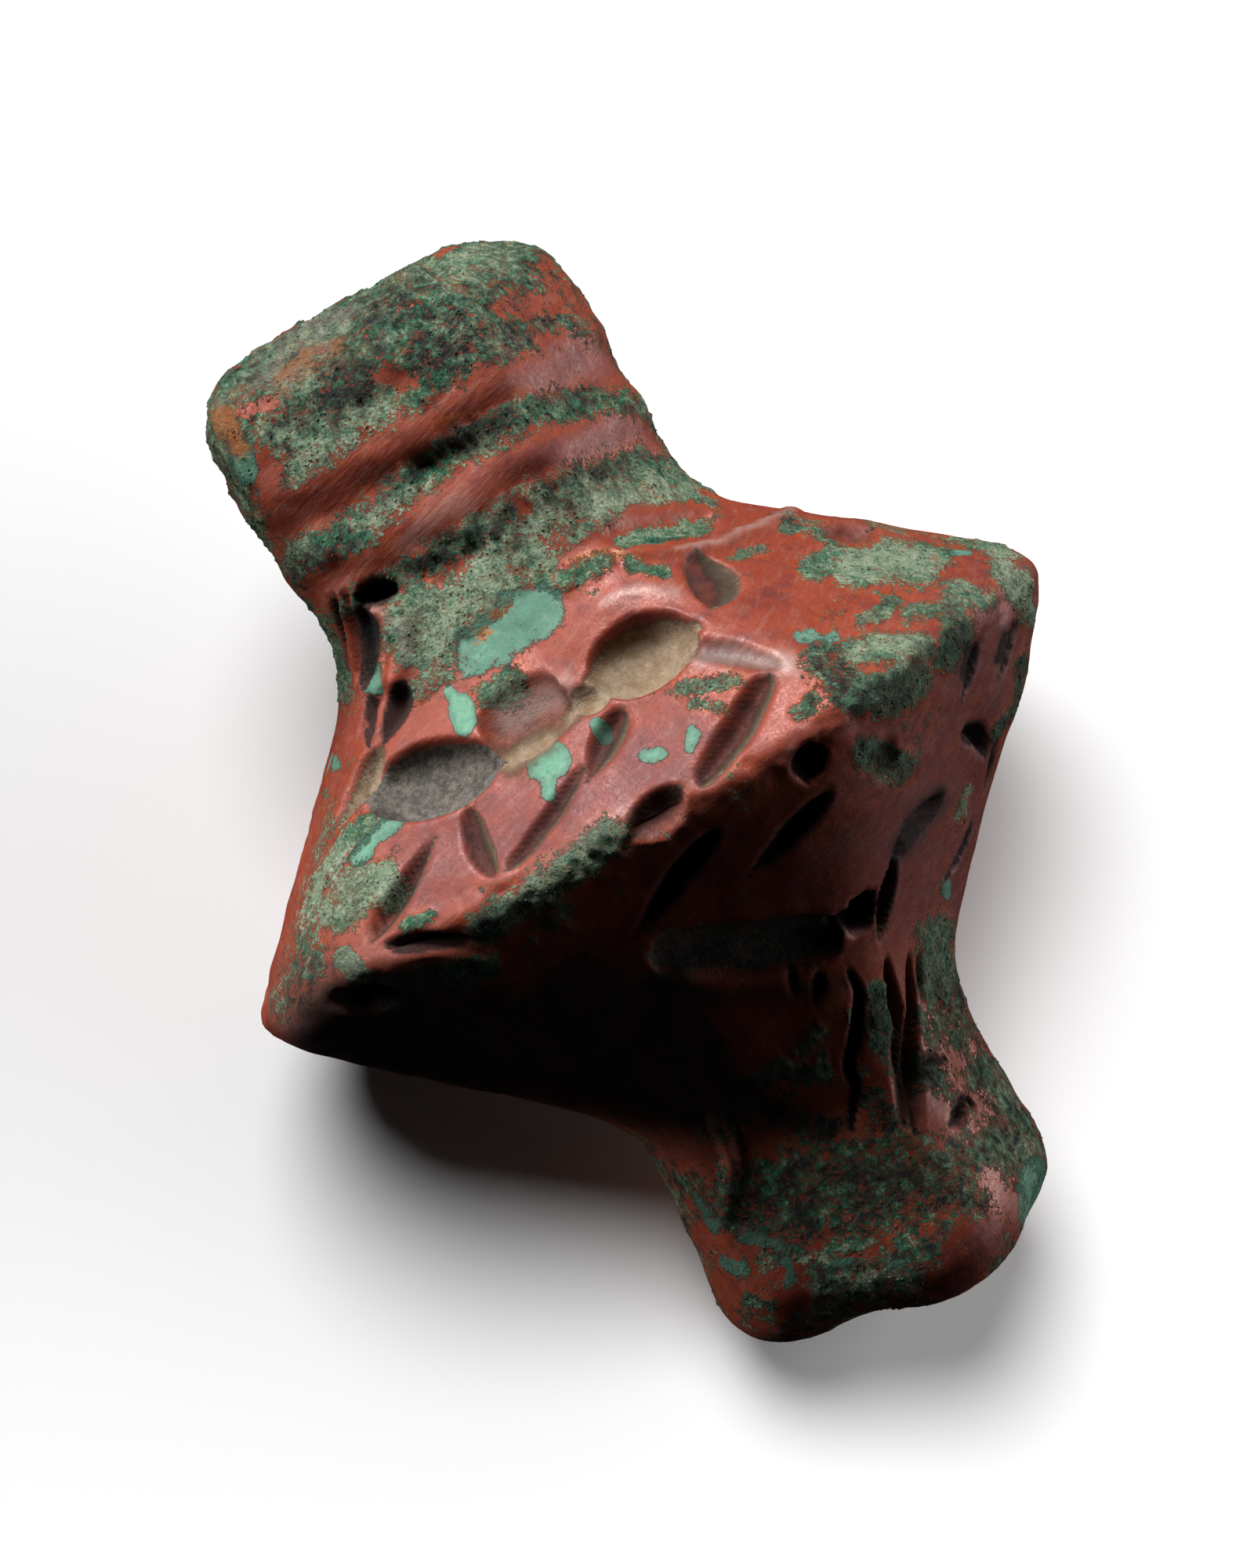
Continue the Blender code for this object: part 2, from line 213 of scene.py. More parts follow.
@dataclass(frozen=True)
class Skin:
    """The uncarved skin, with its axis along X from the foot to the head.

    A turn is an angle round X in degrees, 0 at the top, growing towards +Y. A reach is a
    share of the way from the ridge: 1 at the head's waist, 2 at its end, -1 and -2 at the
    foot's.

    Lengths and waists are measured from the middle of the ridge, half widths to the
    farthest side. Fillet and bluntness say how softly two slopes meet, and the sharpness,
    which is a power, how crisply two sides do. The flat depth is worn off underneath.
    """

    head_length: float = 23.5
    foot_length: float = 22.8
    head_waist: float = 9.8
    foot_waist: float = 12.0
    ridge_half_width: float = 19.6
    head_half_width: float = 10.3
    foot_half_width: float = 7.8
    head_rounding: float = 4.4
    foot_rounding: float = 3.0
    waist_fillet: float = 1.9
    ridge_bluntness: float = 1.2
    side_sharpness: float = 11.0
    flat_depth: float = 0.2
    sides: tuple[Side, ...] = SIDES

    @staticmethod
    def _blend(first: Array, second: Array, softness: float) -> Array:
        """The larger of two distances, with the corner between them rounded."""
        return 0.5 * (first + second + np.sqrt((first - second) ** 2 + softness ** 2))

    @staticmethod
    def _line(along: Array, start: Point, end: Point) -> Array:
        """The height over a place along of a straight line through two points."""
        return start[1] + (end[1] - start[1]) * (along - start[0]) / (end[0] - start[0])

    def side_distance(self, side: Side, along: Array) -> Array:
        """How far a side is from the axis, before the ends are rounded.

        Args:
            side: The side.
            along: Places along the seal.

        Returns:
            One distance for each place.
        """
        ridge = (side.ridge_shift * self.ridge_half_width, side.ridge * self.ridge_half_width)
        head_waist = (self.head_waist, side.head_waist * self.head_half_width)
        foot_waist = (-self.foot_waist, side.foot_waist * self.foot_half_width)
        head_end = (self.head_length, side.head * self.head_half_width)
        foot_end = (-self.foot_length, side.foot * self.foot_half_width)
        to_head = self._blend(self._line(along, head_waist, head_end),
                              self._line(along, ridge, head_waist), self.waist_fillet)
        to_foot = self._blend(self._line(along, foot_waist, foot_end),
                              self._line(along, ridge, foot_waist), self.waist_fillet)
        return -self._blend(-to_head, -to_foot, self.ridge_bluntness)

    def rounding_loss(self, along: Array) -> Array:
        """How much the quarter-round rims take off.

        Args:
            along: Places along the seal.

        Returns:
            One loss for each place, 0 away from the rims.
        """
        loss = np.zeros(np.shape(along))
        for length, rounding, past in (
            (self.head_length, self.head_rounding, along),
            (self.foot_length, self.foot_rounding, -along),
        ):
            inside = np.clip(past - (length - rounding), 0.0, rounding)
            loss = loss + rounding - np.sqrt(rounding ** 2 - inside ** 2)
        return loss

    def radius(self, turn: Array, along: Array) -> Array:
        """Distance of the skin from the axis.

        Args:
            turn: Turns in degrees.
            along: Places along the seal.

        Returns:
            One distance for each pair.
        """
        loss = self.rounding_loss(along)
        total = np.zeros(np.broadcast(turn, along).shape)
        for side in self.sides:
            facing = np.maximum(np.cos(np.radians(turn - side.turn)), 0.0)
            total += (facing / (self.side_distance(side, along) - loss)) ** self.side_sharpness
        return total ** (-1.0 / self.side_sharpness)

    def points(self, turn: Array, along: Array) -> Array:
        """The points of the skin.

        Args:
            turn: Turns in degrees.
            along: Places along the seal.

        Returns:
            The points, with X, Y and Z last.
        """
        radius = self.radius(turn, along)
        angle = np.radians(turn)
        flat = along + np.zeros_like(radius)
        return np.stack((flat, radius * np.sin(angle), radius * np.cos(angle)), axis=-1)

    def normals(self, turn: Array, along: Array) -> Array:
        """The outward directions of the skin, taken just inside the two end faces.

        Args:
            turn: Turns in degrees.
            along: Places along the seal.

        Returns:
            The directions, with X, Y and Z last.
        """
        turn_step = 0.4
        along_step = 0.05
        top = self.head_length - 2.0 * along_step
        inner = np.clip(along, -self.foot_length + 2.0 * along_step, top)
        around = self.points(turn + turn_step, inner) - self.points(turn - turn_step, inner)
        ahead = self.points(turn, inner + along_step) - self.points(turn, inner - along_step)
        out = np.cross(ahead, around)
        return out / np.linalg.norm(out, axis=-1, keepdims=True)

    def along(self, reach: Any) -> Any:
        """The places along the seal of reaches from -2 to 2."""
        places = (-self.foot_length, -self.foot_waist, 0.0, self.head_waist, self.head_length)
        return np.interp(reach, (-2.0, -1.0, 0.0, 1.0, 2.0), places)


@dataclass(frozen=True)
class Resting:
    """How the seal lies: its head rises, and the middle of its box is over the origin.

    Attributes:
        rise: Angle of the axis over the floor in radians.
        place: Where the middle of the ridge's plane is, in mm.
    """

    rise: float
    place: Array

    @classmethod
    def of(cls, skin: Skin) -> "Resting":
        """Lets the skin down until its ridge and its foot touch one level.

        Args:
            skin: The skin to lay down.

        Returns:
            How it lies, with its box over the origin and its flats at zero.
        """
        steepest = math.radians(60.0)
        halvings = 40
        turns = np.arange(48) * 7.5
        reach = np.concatenate((np.linspace(-2.0, 0.0, 50), np.linspace(0.0, 2.0, 50)[1:]))
        points = skin.points(turns[None, :], skin.along(reach)[:, None]).reshape(-1, 3)
        on_foot = points[:, 0] < -skin.foot_waist
        low = 0.0
        high = steepest
        for _ in range(halvings):
            rise = 0.5 * (low + high)
            height = points[:, 0] * math.sin(rise) + points[:, 2] * math.cos(rise)
            if height[on_foot].min() > height[~on_foot].min():
                low = rise
            else:
                high = rise
        lengthwise = points[:, 0] * math.cos(rise) - points[:, 2] * math.sin(rise)
        place = np.array((
            -0.5 * (lengthwise.min() + lengthwise.max()),
            -0.5 * (points[:, 1].min() + points[:, 1].max()),
            -height.min() - skin.flat_depth,
        ))
        return cls(rise, place)

    def turned(self, vectors: Array) -> Array:
        """Turns vectors of the seal's own frame to the shared frame.

        Args:
            vectors: The vectors, with X, Y and Z last.

        Returns:
            The vectors as they point once the seal lies.
        """
        cosine = math.cos(self.rise)
        sine = math.sin(self.rise)
        x, y, z = vectors[..., 0], vectors[..., 1], vectors[..., 2]
        return np.stack((x * cosine - z * sine, y, x * sine + z * cosine), axis=-1)

    def placed(self, points: Array) -> Array:
        """Points of the seal's own frame in the shared frame."""
        return self.turned(points) + self.place


@dataclass(frozen=True)
class Viewpoint:
    """The photograph's camera, held over the seal's own axis.

    Attributes:
        resting: How the seal lies.
        roll_round_axis: How far the camera leans round the seal's axis, in degrees.
        nod: How far it leans towards the head, in degrees.
        spin: How far the axis runs off the picture's upright, in degrees.
        distance: From the camera to the seal, in mm.
        lens: Focal length in mm.
        film: Height of the camera's picture in mm.
        aim: What the middle of the picture shows: mm across the axis, and along it.
    """

    resting: Resting
    roll_round_axis: float = 13.0
    nod: float = 5.0
    spin: float = 27.9
    distance: float = 230.0
    lens: float = 128.75
    film: float = 36.0
    aim: Point = (-0.67, 0.7)

    def picture_axes(self) -> tuple[Array, Array, Array]:
        """The directions that the picture is laid out by.

        Returns:
            The ways across the seal's axis to the right, along it to the head, and over it
            towards the camera, before the camera nods and spins.
        """
        roll = math.radians(self.roll_round_axis)
        axis, left, top = self.resting.turned(np.eye(3))
        across = math.sin(roll) * top - math.cos(roll) * left
        over = math.cos(roll) * top + math.sin(roll) * left
        return across, axis, over

    def stance(self) -> tuple[Array, Array, Array, Array]:
        """How the camera stands.

        Returns:
            Its right, up and back directions, and its eye in mm.
        """
        nod = math.radians(self.nod)
        spin = math.radians(self.spin)
        across, axis, over = self.picture_axes()
        back = math.cos(nod) * over + math.sin(nod) * axis
        lifted = math.cos(nod) * axis - math.sin(nod) * over
        right = math.cos(spin) * across - math.sin(spin) * lifted
        up = math.sin(spin) * across + math.cos(spin) * lifted
        aimed_at = self.resting.place + self.aim[0] * across + self.aim[1] * axis
        return right, up, back, aimed_at + self.distance * back

    def project(self, points: Array) -> Array:
        """Finds where points fall in the photograph.

        Args:
            points: Points in the shared frame, in mm.

        Returns:
            The photograph's pixels, from its left and its top.
        """
        right, up, back, eye = self.stance()
        seen = points - eye
        depth = -(seen @ back)
        scale = self.lens / self.film * PHOTO_HEIGHT / depth
        return np.stack((0.5 * PHOTO_WIDTH + scale * (seen @ right),
                         0.5 * PHOTO_HEIGHT - scale * (seen @ up)), axis=-1)

    def facing(self, points: Array, normals: Array) -> Array:
        """How squarely a surface faces the camera.

        Args:
            points: Its points in the shared frame, in mm.
            normals: Its outward directions there.

        Returns:
            From -1, facing away, to 1 for each point.
        """
        eye = self.stance()[3]
        towards = eye - points
        towards /= np.linalg.norm(towards, axis=-1, keepdims=True)
        return np.sum(towards * normals, axis=-1)

    def make_camera(self) -> None:
        """Creates the scene's camera."""
        nearest_shown = 1.0
        right, up, back, eye = self.stance()
        camera = bpy.data.cameras.new("photo_camera")
        camera.lens = self.lens
        camera.sensor_width = self.film
        camera.clip_start = nearest_shown * MM
        matrix = Matrix((right, up, back)).transposed().to_4x4()
        matrix.translation = Vector(eye * MM)
        holder = put_in_scene("photo_camera", camera)
        holder.matrix_world = matrix
        bpy.context.scene.camera = holder


@dataclass(frozen=True)
class Tool:
    """The cut that one tool leaves.

    Attributes:
        skew: 1 where the cut is widest at the middle of its path, and less where it is
            widest nearer the start.
        fullness: 0 for a slot with square ends and 1 for a pointed one.
        roundness: 1 for a V, 2 for a round bottom and more for a flat floor.
    """

    skew: float
    fullness: float
    roundness: float


HOLLOW = Tool(skew=1.0, fullness=0.45, roundness=2.4)
SCOOP = Tool(skew=1.0, fullness=0.2, roundness=1.5)
DRILL = Tool(skew=1.0, fullness=0.5, roundness=2.2)
GOUGE = Tool(skew=0.7, fullness=0.8, roundness=1.2)
GROOVE = Tool(skew=1.0, fullness=0.35, roundness=1.3)


@dataclass(frozen=True)
class Dirt:
    """How strongly each kind of dirt lies in a cut, from 0 to 1.

    Attributes:
        earth: Tan earth on its floor.
        ash: Grey earth on its floor.
        soot_and_shade: Black in its depth: dark dirt with the cut's shade painted in.
        wall: Tan earth on the gentler of its walls.
    """

    earth: float = 0.0
    ash: float = 0.0
    soot_and_shade: float = 0.0
    wall: float = 0.0


class Fill(Enum):
    """What the ground left in a cut.

    Dust is a thin coat of earth, and a bevel has black in its depth and earth on the gentler
    of its walls. The black in a cut is dark dirt with the cut's shade painted in.
    """

    BARE = Dirt(soot_and_shade=0.35)
    EARTH = Dirt(earth=1.0, soot_and_shade=0.1)
    DUST = Dirt(earth=0.35, soot_and_shade=0.1)
    ASH = Dirt(ash=1.0)
    SOOT_AND_SHADE = Dirt(soot_and_shade=1.0)
    BEVEL = Dirt(soot_and_shade=0.55, wall=0.75)


@dataclass(frozen=True)
class Stroke:
    """One cut of the engraver's.

    Attributes:
        name: What it draws, for the reader alone.
        tool: The tool.
        path: The (turn, reach) points it passes.
        width: Its width in mm.
        depth: Its depth in mm.
        fill: What lies in it.
        lean: Where its deepest line runs, as a share of its half width. Over 0 is to the
            left of the path, seen from outside.
    """

    name: str
    tool: Tool
    path: tuple[Point, ...]
    width: float
    depth: float
    fill: Fill = Fill.BARE
    lean: float = 0.0


def strokes(*rows: tuple[Any, ...]) -> tuple[Stroke, ...]:
    """Makes strokes of rows that give their fields in order."""
    return tuple(Stroke(*row) for row in rows)


HEAD_SIDE_ANIMAL = strokes(
    ("haunch", HOLLOW, ((13.5, 0.61), (-8.5, 0.60)), 3.4, 1.35, Fill.EARTH, 0.25),
    ("flank", DRILL, ((20, 0.57), (11, 0.53)), 1.3, 0.6, Fill.EARTH),
    ("belly", SCOOP, ((37, 0.57), (19, 0.61)), 3.4, 1.0, Fill.DUST, -0.3),
    ("chest", HOLLOW, ((60, 0.60), (35.5, 0.49)), 3.3, 1.1, Fill.ASH, 0.1),
    ("muzzle", HOLLOW, ((69, 0.54), (58, 0.74)), 1.7, 0.7, Fill.EARTH),
    ("ear", GOUGE, ((52, 0.92), (58, 0.75)), 1.1, 0.6, Fill.SOOT_AND_SHADE),
    ("brow", GOUGE, ((62.5, 0.94), (61.5, 0.77)), 0.9, 0.5, Fill.SOOT_AND_SHADE),
    ("mane", GROOVE, ((58, 0.95), (67, 0.81)), 0.6, 0.4),
    ("foreleg", GOUGE, ((57.3, 0.11), (52, 0.24), (48, 0.35)), 1.1, 0.8, Fill.BEVEL, 0.4),
    ("near_leg", GROOVE, ((42, 0.39), (41, 0.25), (39.5, 0.12)), 1.1, 0.5, Fill.BEVEL, -0.75),
    ("far_leg", GROOVE, ((21, 0.33), (29, 0.21), (37.5, 0.12)), 0.85, 0.4, Fill.BEVEL, -0.4),
    ("knee", GOUGE, ((10.5, 0.46), (21.5, 0.27)), 1.5, 0.6, Fill.BEVEL, -0.5),
    ("thigh", SCOOP, ((-5, 0.55), (-10, 0.44), (-13, 0.33)), 1.3, 0.3),
    ("hind_leg", GROOVE, ((-11, 0.32), (-2.4, 0.19), (6.4, 0.07)), 1.5, 0.75, Fill.BEVEL, -0.35),
    ("tail", HOLLOW, ((-26, 0.83), (-22, 0.73), (-14, 0.64)), 2.2, 0.5, Fill.BEVEL, -0.4),
)

FOOT_SIDE_ANIMAL = strokes(
    ("body", SCOOP, ((27, -0.39), (10, -0.53), (-8, -0.64)), 2.9, 1.1, Fill.ASH),
    ("shoulder", DRILL, ((-9, -0.64), (-17, -0.57)), 1.7, 1.5, Fill.SOOT_AND_SHADE),
    ("breast", DRILL, ((-6, -0.62), (-10, -0.58)), 1.1, 1.3, Fill.SOOT_AND_SHADE),
    ("neck", GOUGE, ((-24, -0.51), (-18, -0.73)), 1.3, 1.1, Fill.SOOT_AND_SHADE),
    ("horn", GOUGE, ((-44, -0.43), (-28, -0.44), (-20, -0.57)), 1.3, 0.9, Fill.SOOT_AND_SHADE, 0.2),
    ("back_spear", GOUGE, ((6.5, -0.09), (14.7, -0.17), (27.5, -0.31)), 0.9, 0.7, Fill.SOOT_AND_SHADE),
    ("neck_spear", GOUGE, ((-10.5, -0.16), (-3.5, -0.22), (5, -0.29)), 0.9, 0.6, Fill.SOOT_AND_SHADE),
    ("first_teat", GOUGE, ((4, -0.66), (6, -0.76)), 0.45, 0.25),
    ("second_teat", GOUGE, ((-1.7, -0.72), (2, -0.82)), 0.5, 0.35, Fill.SOOT_AND_SHADE),
    ("shin_crease", GROOVE,
           ((-8, -0.76), (-9.6, -0.86), (-4.3, -1.0), (0, -1.08), (-0.4, -1.16), (7.5, -1.30)),
           0.5, 0.5, Fill.SOOT_AND_SHADE, -0.3),
    ("shin", GROOVE, ((-19.5, -0.80), (-20, -1.01), (-7, -1.37)), 0.9, 0.65, Fill.BEVEL, 0.5),
    ("front_shin", GROOVE, ((-30, -0.84), (-27, -1.02), (-16, -1.21), (-9, -1.42)), 0.9,
           0.7, Fill.BEVEL, 0.5),
    ("hock", GOUGE, ((-36, -0.86), (-33, -1.02)), 0.6, 0.45),
)

STUB_CUTS = strokes(
    ("neck_hole", DRILL, ((58, 1.22), (53, 1.21), (47.5, 1.20)), 0.9, 1.3, Fill.SOOT_AND_SHADE),
    ("neck_channel", GROOVE, ((57, 1.20), (60, 1.12), (66, 0.98)), 1.6, 0.7, Fill.SOOT_AND_SHADE),
    ("neck_slit", GOUGE, ((63, 1.26), (71.4, 1.15), (79, 1.05)), 0.6, 0.6, Fill.SOOT_AND_SHADE),
    ("neck_crack", GROOVE, ((60, 0.76), (69, 0.56), (78, 0.42)), 0.4, 0.3),
    ("foot_crease", GROOVE, ((38, -1.08), (41.5, -1.22), (46, -1.36)), 0.6, 0.2),
    ("lump_hole", DRILL, ((-20, -1.46), (-27, -1.45), (-33, -1.41)), 0.6, 0.5, Fill.SOOT_AND_SHADE),
    ("second_lump_hole", DRILL, ((-33, -1.43), (-38, -1.46)), 0.5, 0.4, Fill.SOOT_AND_SHADE),
    ("lump_crack", GROOVE, ((-16, -1.25), (-24, -1.21), (-33, -1.24)), 0.4, 0.4, Fill.SOOT_AND_SHADE),
)

RIDGE_CUTS = strokes(
    ("ridge_bite", HOLLOW, ((9, 0.09), (18.5, 0.01)), 1.6, 1.0, Fill.BEVEL, 0.4),
    ("ridge_wedge", GOUGE, ((55, 0.08), (50, 0.0), (45, -0.07)), 0.8, 0.8, Fill.SOOT_AND_SHADE),
    ("corner_notch", HOLLOW, ((63, -0.02), (58.5, -0.12)), 1.4, 0.8, Fill.SOOT_AND_SHADE),
    ("small_pit", DRILL, ((-8.8, 0.01), (-7.4, -0.10)), 1.4, 0.8, Fill.SOOT_AND_SHADE),
    ("broad_pit", DRILL, ((-18, -0.14), (-24, -0.20)), 1.6, 0.4),
    ("shoulder_dip", HOLLOW, ((-57, 0.62), (-66, 0.54)), 1.8, 0.7),
    ("first_nick", GOUGE, ((-51.5, -0.02), (-47.5, -0.18)), 0.9, 0.6, Fill.SOOT_AND_SHADE),
    ("second_nick", GOUGE, ((-64, -0.02), (-60, -0.20)), 0.7, 0.5, Fill.SOOT_AND_SHADE),
    ("edge_pit", GOUGE, ((-49, -0.27), (-56, -0.31), (-62, -0.41)), 0.9, 0.8, Fill.SOOT_AND_SHADE),
    ("edge_slot", GROOVE, ((-64, -0.36), (-66, -0.52)), 0.7, 0.5, Fill.SOOT_AND_SHADE),
    ("waist_slit", GOUGE, ((-62, -0.58), (-57, -0.65), (-48, -0.70)), 0.6, 0.5, Fill.SOOT_AND_SHADE),
)

HIDDEN_SIDE_CUTS = strokes(
    ("left_haunch", HOLLOW, ((142, 0.62), (120, 0.58)), 3.2, 1.0, Fill.EARTH),
    ("left_chest", HOLLOW, ((115, 0.56), (100, 0.52)), 2.4, 0.8, Fill.EARTH),
    ("left_hind_leg", GROOVE, ((139, 0.38), (134, 0.10)), 0.9, 0.5, Fill.BEVEL),
    ("left_foreleg", GROOVE, ((114, 0.36), (110, 0.10)), 0.9, 0.5, Fill.BEVEL),
    ("left_spear", GOUGE, ((118, -0.18), (142, -0.52)), 1.0, 0.6, Fill.SOOT_AND_SHADE),
    ("left_body", HOLLOW, ((108, -0.48), (126, -0.62)), 2.2, 0.8, Fill.ASH),
    ("right_body", HOLLOW, ((-84, 0.58), (-106, 0.60)), 3.2, 1.0, Fill.ASH),
    ("right_foreleg", GROOVE, ((-86, 0.36), (-84, 0.10)), 0.9, 0.5, Fill.BEVEL),
    ("right_hind_leg", GROOVE, ((-104, 0.36), (-106, 0.10)), 0.9, 0.5, Fill.BEVEL),
    ("right_spear", GOUGE, ((-86, -0.20), (-100, -0.52)), 1.0, 0.6, Fill.SOOT_AND_SHADE),
    ("right_slash", GOUGE, ((-106, -0.18), (-114, -0.45)), 0.9, 0.5),
)

STROKES = HEAD_SIDE_ANIMAL + FOOT_SIDE_ANIMAL + STUB_CUTS + RIDGE_CUTS + HIDDEN_SIDE_CUTS


@dataclass(frozen=True)
class Swell:
    """A place where the metal or its crust rises or sinks.

    Attributes:
        name: What it is, for the reader alone.
        path: The (turn, reach) points that its middle line passes.
        width: Its width in mm.
        height: Its height in mm, below 0 for a hollow.
        firmness: 2 for a soft swell, and more for one with a flat top and firm edges.
    """

    name: str
    path: tuple[Point, ...]
    width: float
    height: float
    firmness: float = 2.0


SWELLS = (
    Swell("right_shoulder", ((-68, 0.52), (-73, 0.26)), 6.5, 0.30),
    Swell("right_side", ((-66, -0.28), (-82, -0.26)), 4.5, 0.35),
    Swell("flake", ((-12, 1.03), (-29, 0.98), (-45, 0.92)), 1.3, -0.3, 4.0),
    Swell("flake_lip", ((-10, 0.98), (-22, 0.88), (-34, 0.82), (-50, 0.79), (-67, 0.75)), 0.9,
          0.26, 3.0),
    Swell("neck_welt", ((53.5, 1.19), (50.5, 1.13), (50.5, 1.06), (54, 0.96)), 1.2, 0.4, 3.0),
    Swell("neck_split", ((60, 1.24), (64, 1.15), (70, 1.02)), 0.45, -0.4, 3.0),
    Swell("haunch_brow", ((13, 0.78), (4, 0.83), (-8, 0.82)), 1.5, 0.16),
    Swell("ring_hollow", ((27, 1.47), (12, 1.46)), 1.3, -0.30),
    Swell("low_hollow", ((48, 1.20), (24, 1.17)), 1.5, -0.25),
    Swell("left_low_hollow", ((74, 1.30), (60, 1.33)), 1.3, -0.25),
    Swell("rim_hollow", ((50, 1.72), (24, 1.70)), 1.3, -0.18),
    Swell("wedge_lip", ((57, 0.03), (52, -0.05), (47, -0.12)), 0.9, 0.3, 3.0),
    Swell("edge_drip", ((60.5, 0.04), (60, -0.10)), 1.0, 0.4, 3.0),
    Swell("foot_fold", ((40.8, -1.02), (43.8, -1.19), (52.6, -1.36)), 0.6, 0.4, 3.0),
    Swell("pitted_lump", ((-27, -1.33), (-24, -1.60)), 3.4, 0.3),
    Swell("foot_hollow", ((22, -1.15), (4, -1.22)), 2.4, -0.3),
    Swell("foot_rim", ((-8, -1.96), (8, -1.96), (24, -1.96)), 5.0, 0.5),
    Swell("right_foot_rim", ((4, -1.97), (-30, -1.96)), 3.6, 0.5),
    Swell("heel", ((34, -1.97), (60, -1.90)), 5.0, -0.6),
)


class Mineral(Enum):
    """What a patch of the surface is made of, as the name of its point attribute.

    The crisp ones are kept as a signed number, over 0 inside the patch, and the others
    as a strength from 0 to 1. The black layer also holds painted shade, and the pale scuffed
    layer painted highlights.
    """

    CRUST = "crust"
    TURQUOISE = "turquoise"
    ORANGE = "orange"
    PALE = "pale"
    DARK = "dark"
    PURPLE = "purple"
    VIVID = "vivid"
    MOTTLE = "mottle"
    WORN = "worn"
    SCUFF_AND_HIGHLIGHT = "scuff_and_highlight"
    EARTH = "earth"
    ASH = "ash"
    SOOT_AND_SHADE = "soot_and_shade"

    @property
    def crisp(self) -> bool:
        """Whether the patch has a sharp edge."""
        return self in (CRUST, TURQUOISE, ORANGE)


(CRUST, TURQUOISE, ORANGE, PALE, DARK, PURPLE, VIVID, MOTTLE, WORN, SCUFF_AND_HIGHLIGHT, EARTH, ASH,
 SOOT_AND_SHADE) = Mineral


@dataclass(frozen=True)
class Stain:
    """A patch as the photograph shows it: a line of its pixels, with a width in pixels.

    Attributes:
        name: What the patch is, for the reader alone.
        mineral: What it is made of.
        path: The photograph's pixels that its middle line passes.
        width: How wide it is across that line.
        strength: How strong it is, or below 0 for a place that the mineral keeps clear of.
        ragged: How wide a crisp mineral's edge is, in pixels. Soft minerals don't use it.
    """

    name: str
    mineral: Mineral
    path: tuple[Point, ...]
    width: float
    strength: float = 1.0
    ragged: float = 30.0

    def paint(self, layer: Array, pixels: Array, seen: Array) -> Array:
        """Lays the stain over what a layer holds already.

        Args:
            layer: The mineral's number at each point.
            pixels: Where each point falls in the photograph.
            seen: How well the photograph shows each point, from 0 to 1.

        Returns:
            The layer with the stain.
        """
        distance, _ = path_distance(pixels, np.array(self.path, float))
        half_width = 0.5 * self.width
        if not self.mineral.crisp:
            glow = np.exp(-(distance / half_width) ** 2) * seen * self.strength
            return np.clip(layer + glow, 0.0, 1.0)
        inside = np.clip((half_width - distance) / self.ragged, -1.0, abs(self.strength))
        if self.strength > 0.0:
            return np.maximum(layer, inside * seen - (1.0 - seen))
        return np.minimum(layer, (1.0 - seen) - inside * seen)


def stains(*rows: tuple[Any, ...]) -> tuple[Stain, ...]:
    """Makes stains of rows that give their fields in order."""
    return tuple(Stain(*row) for row in rows)


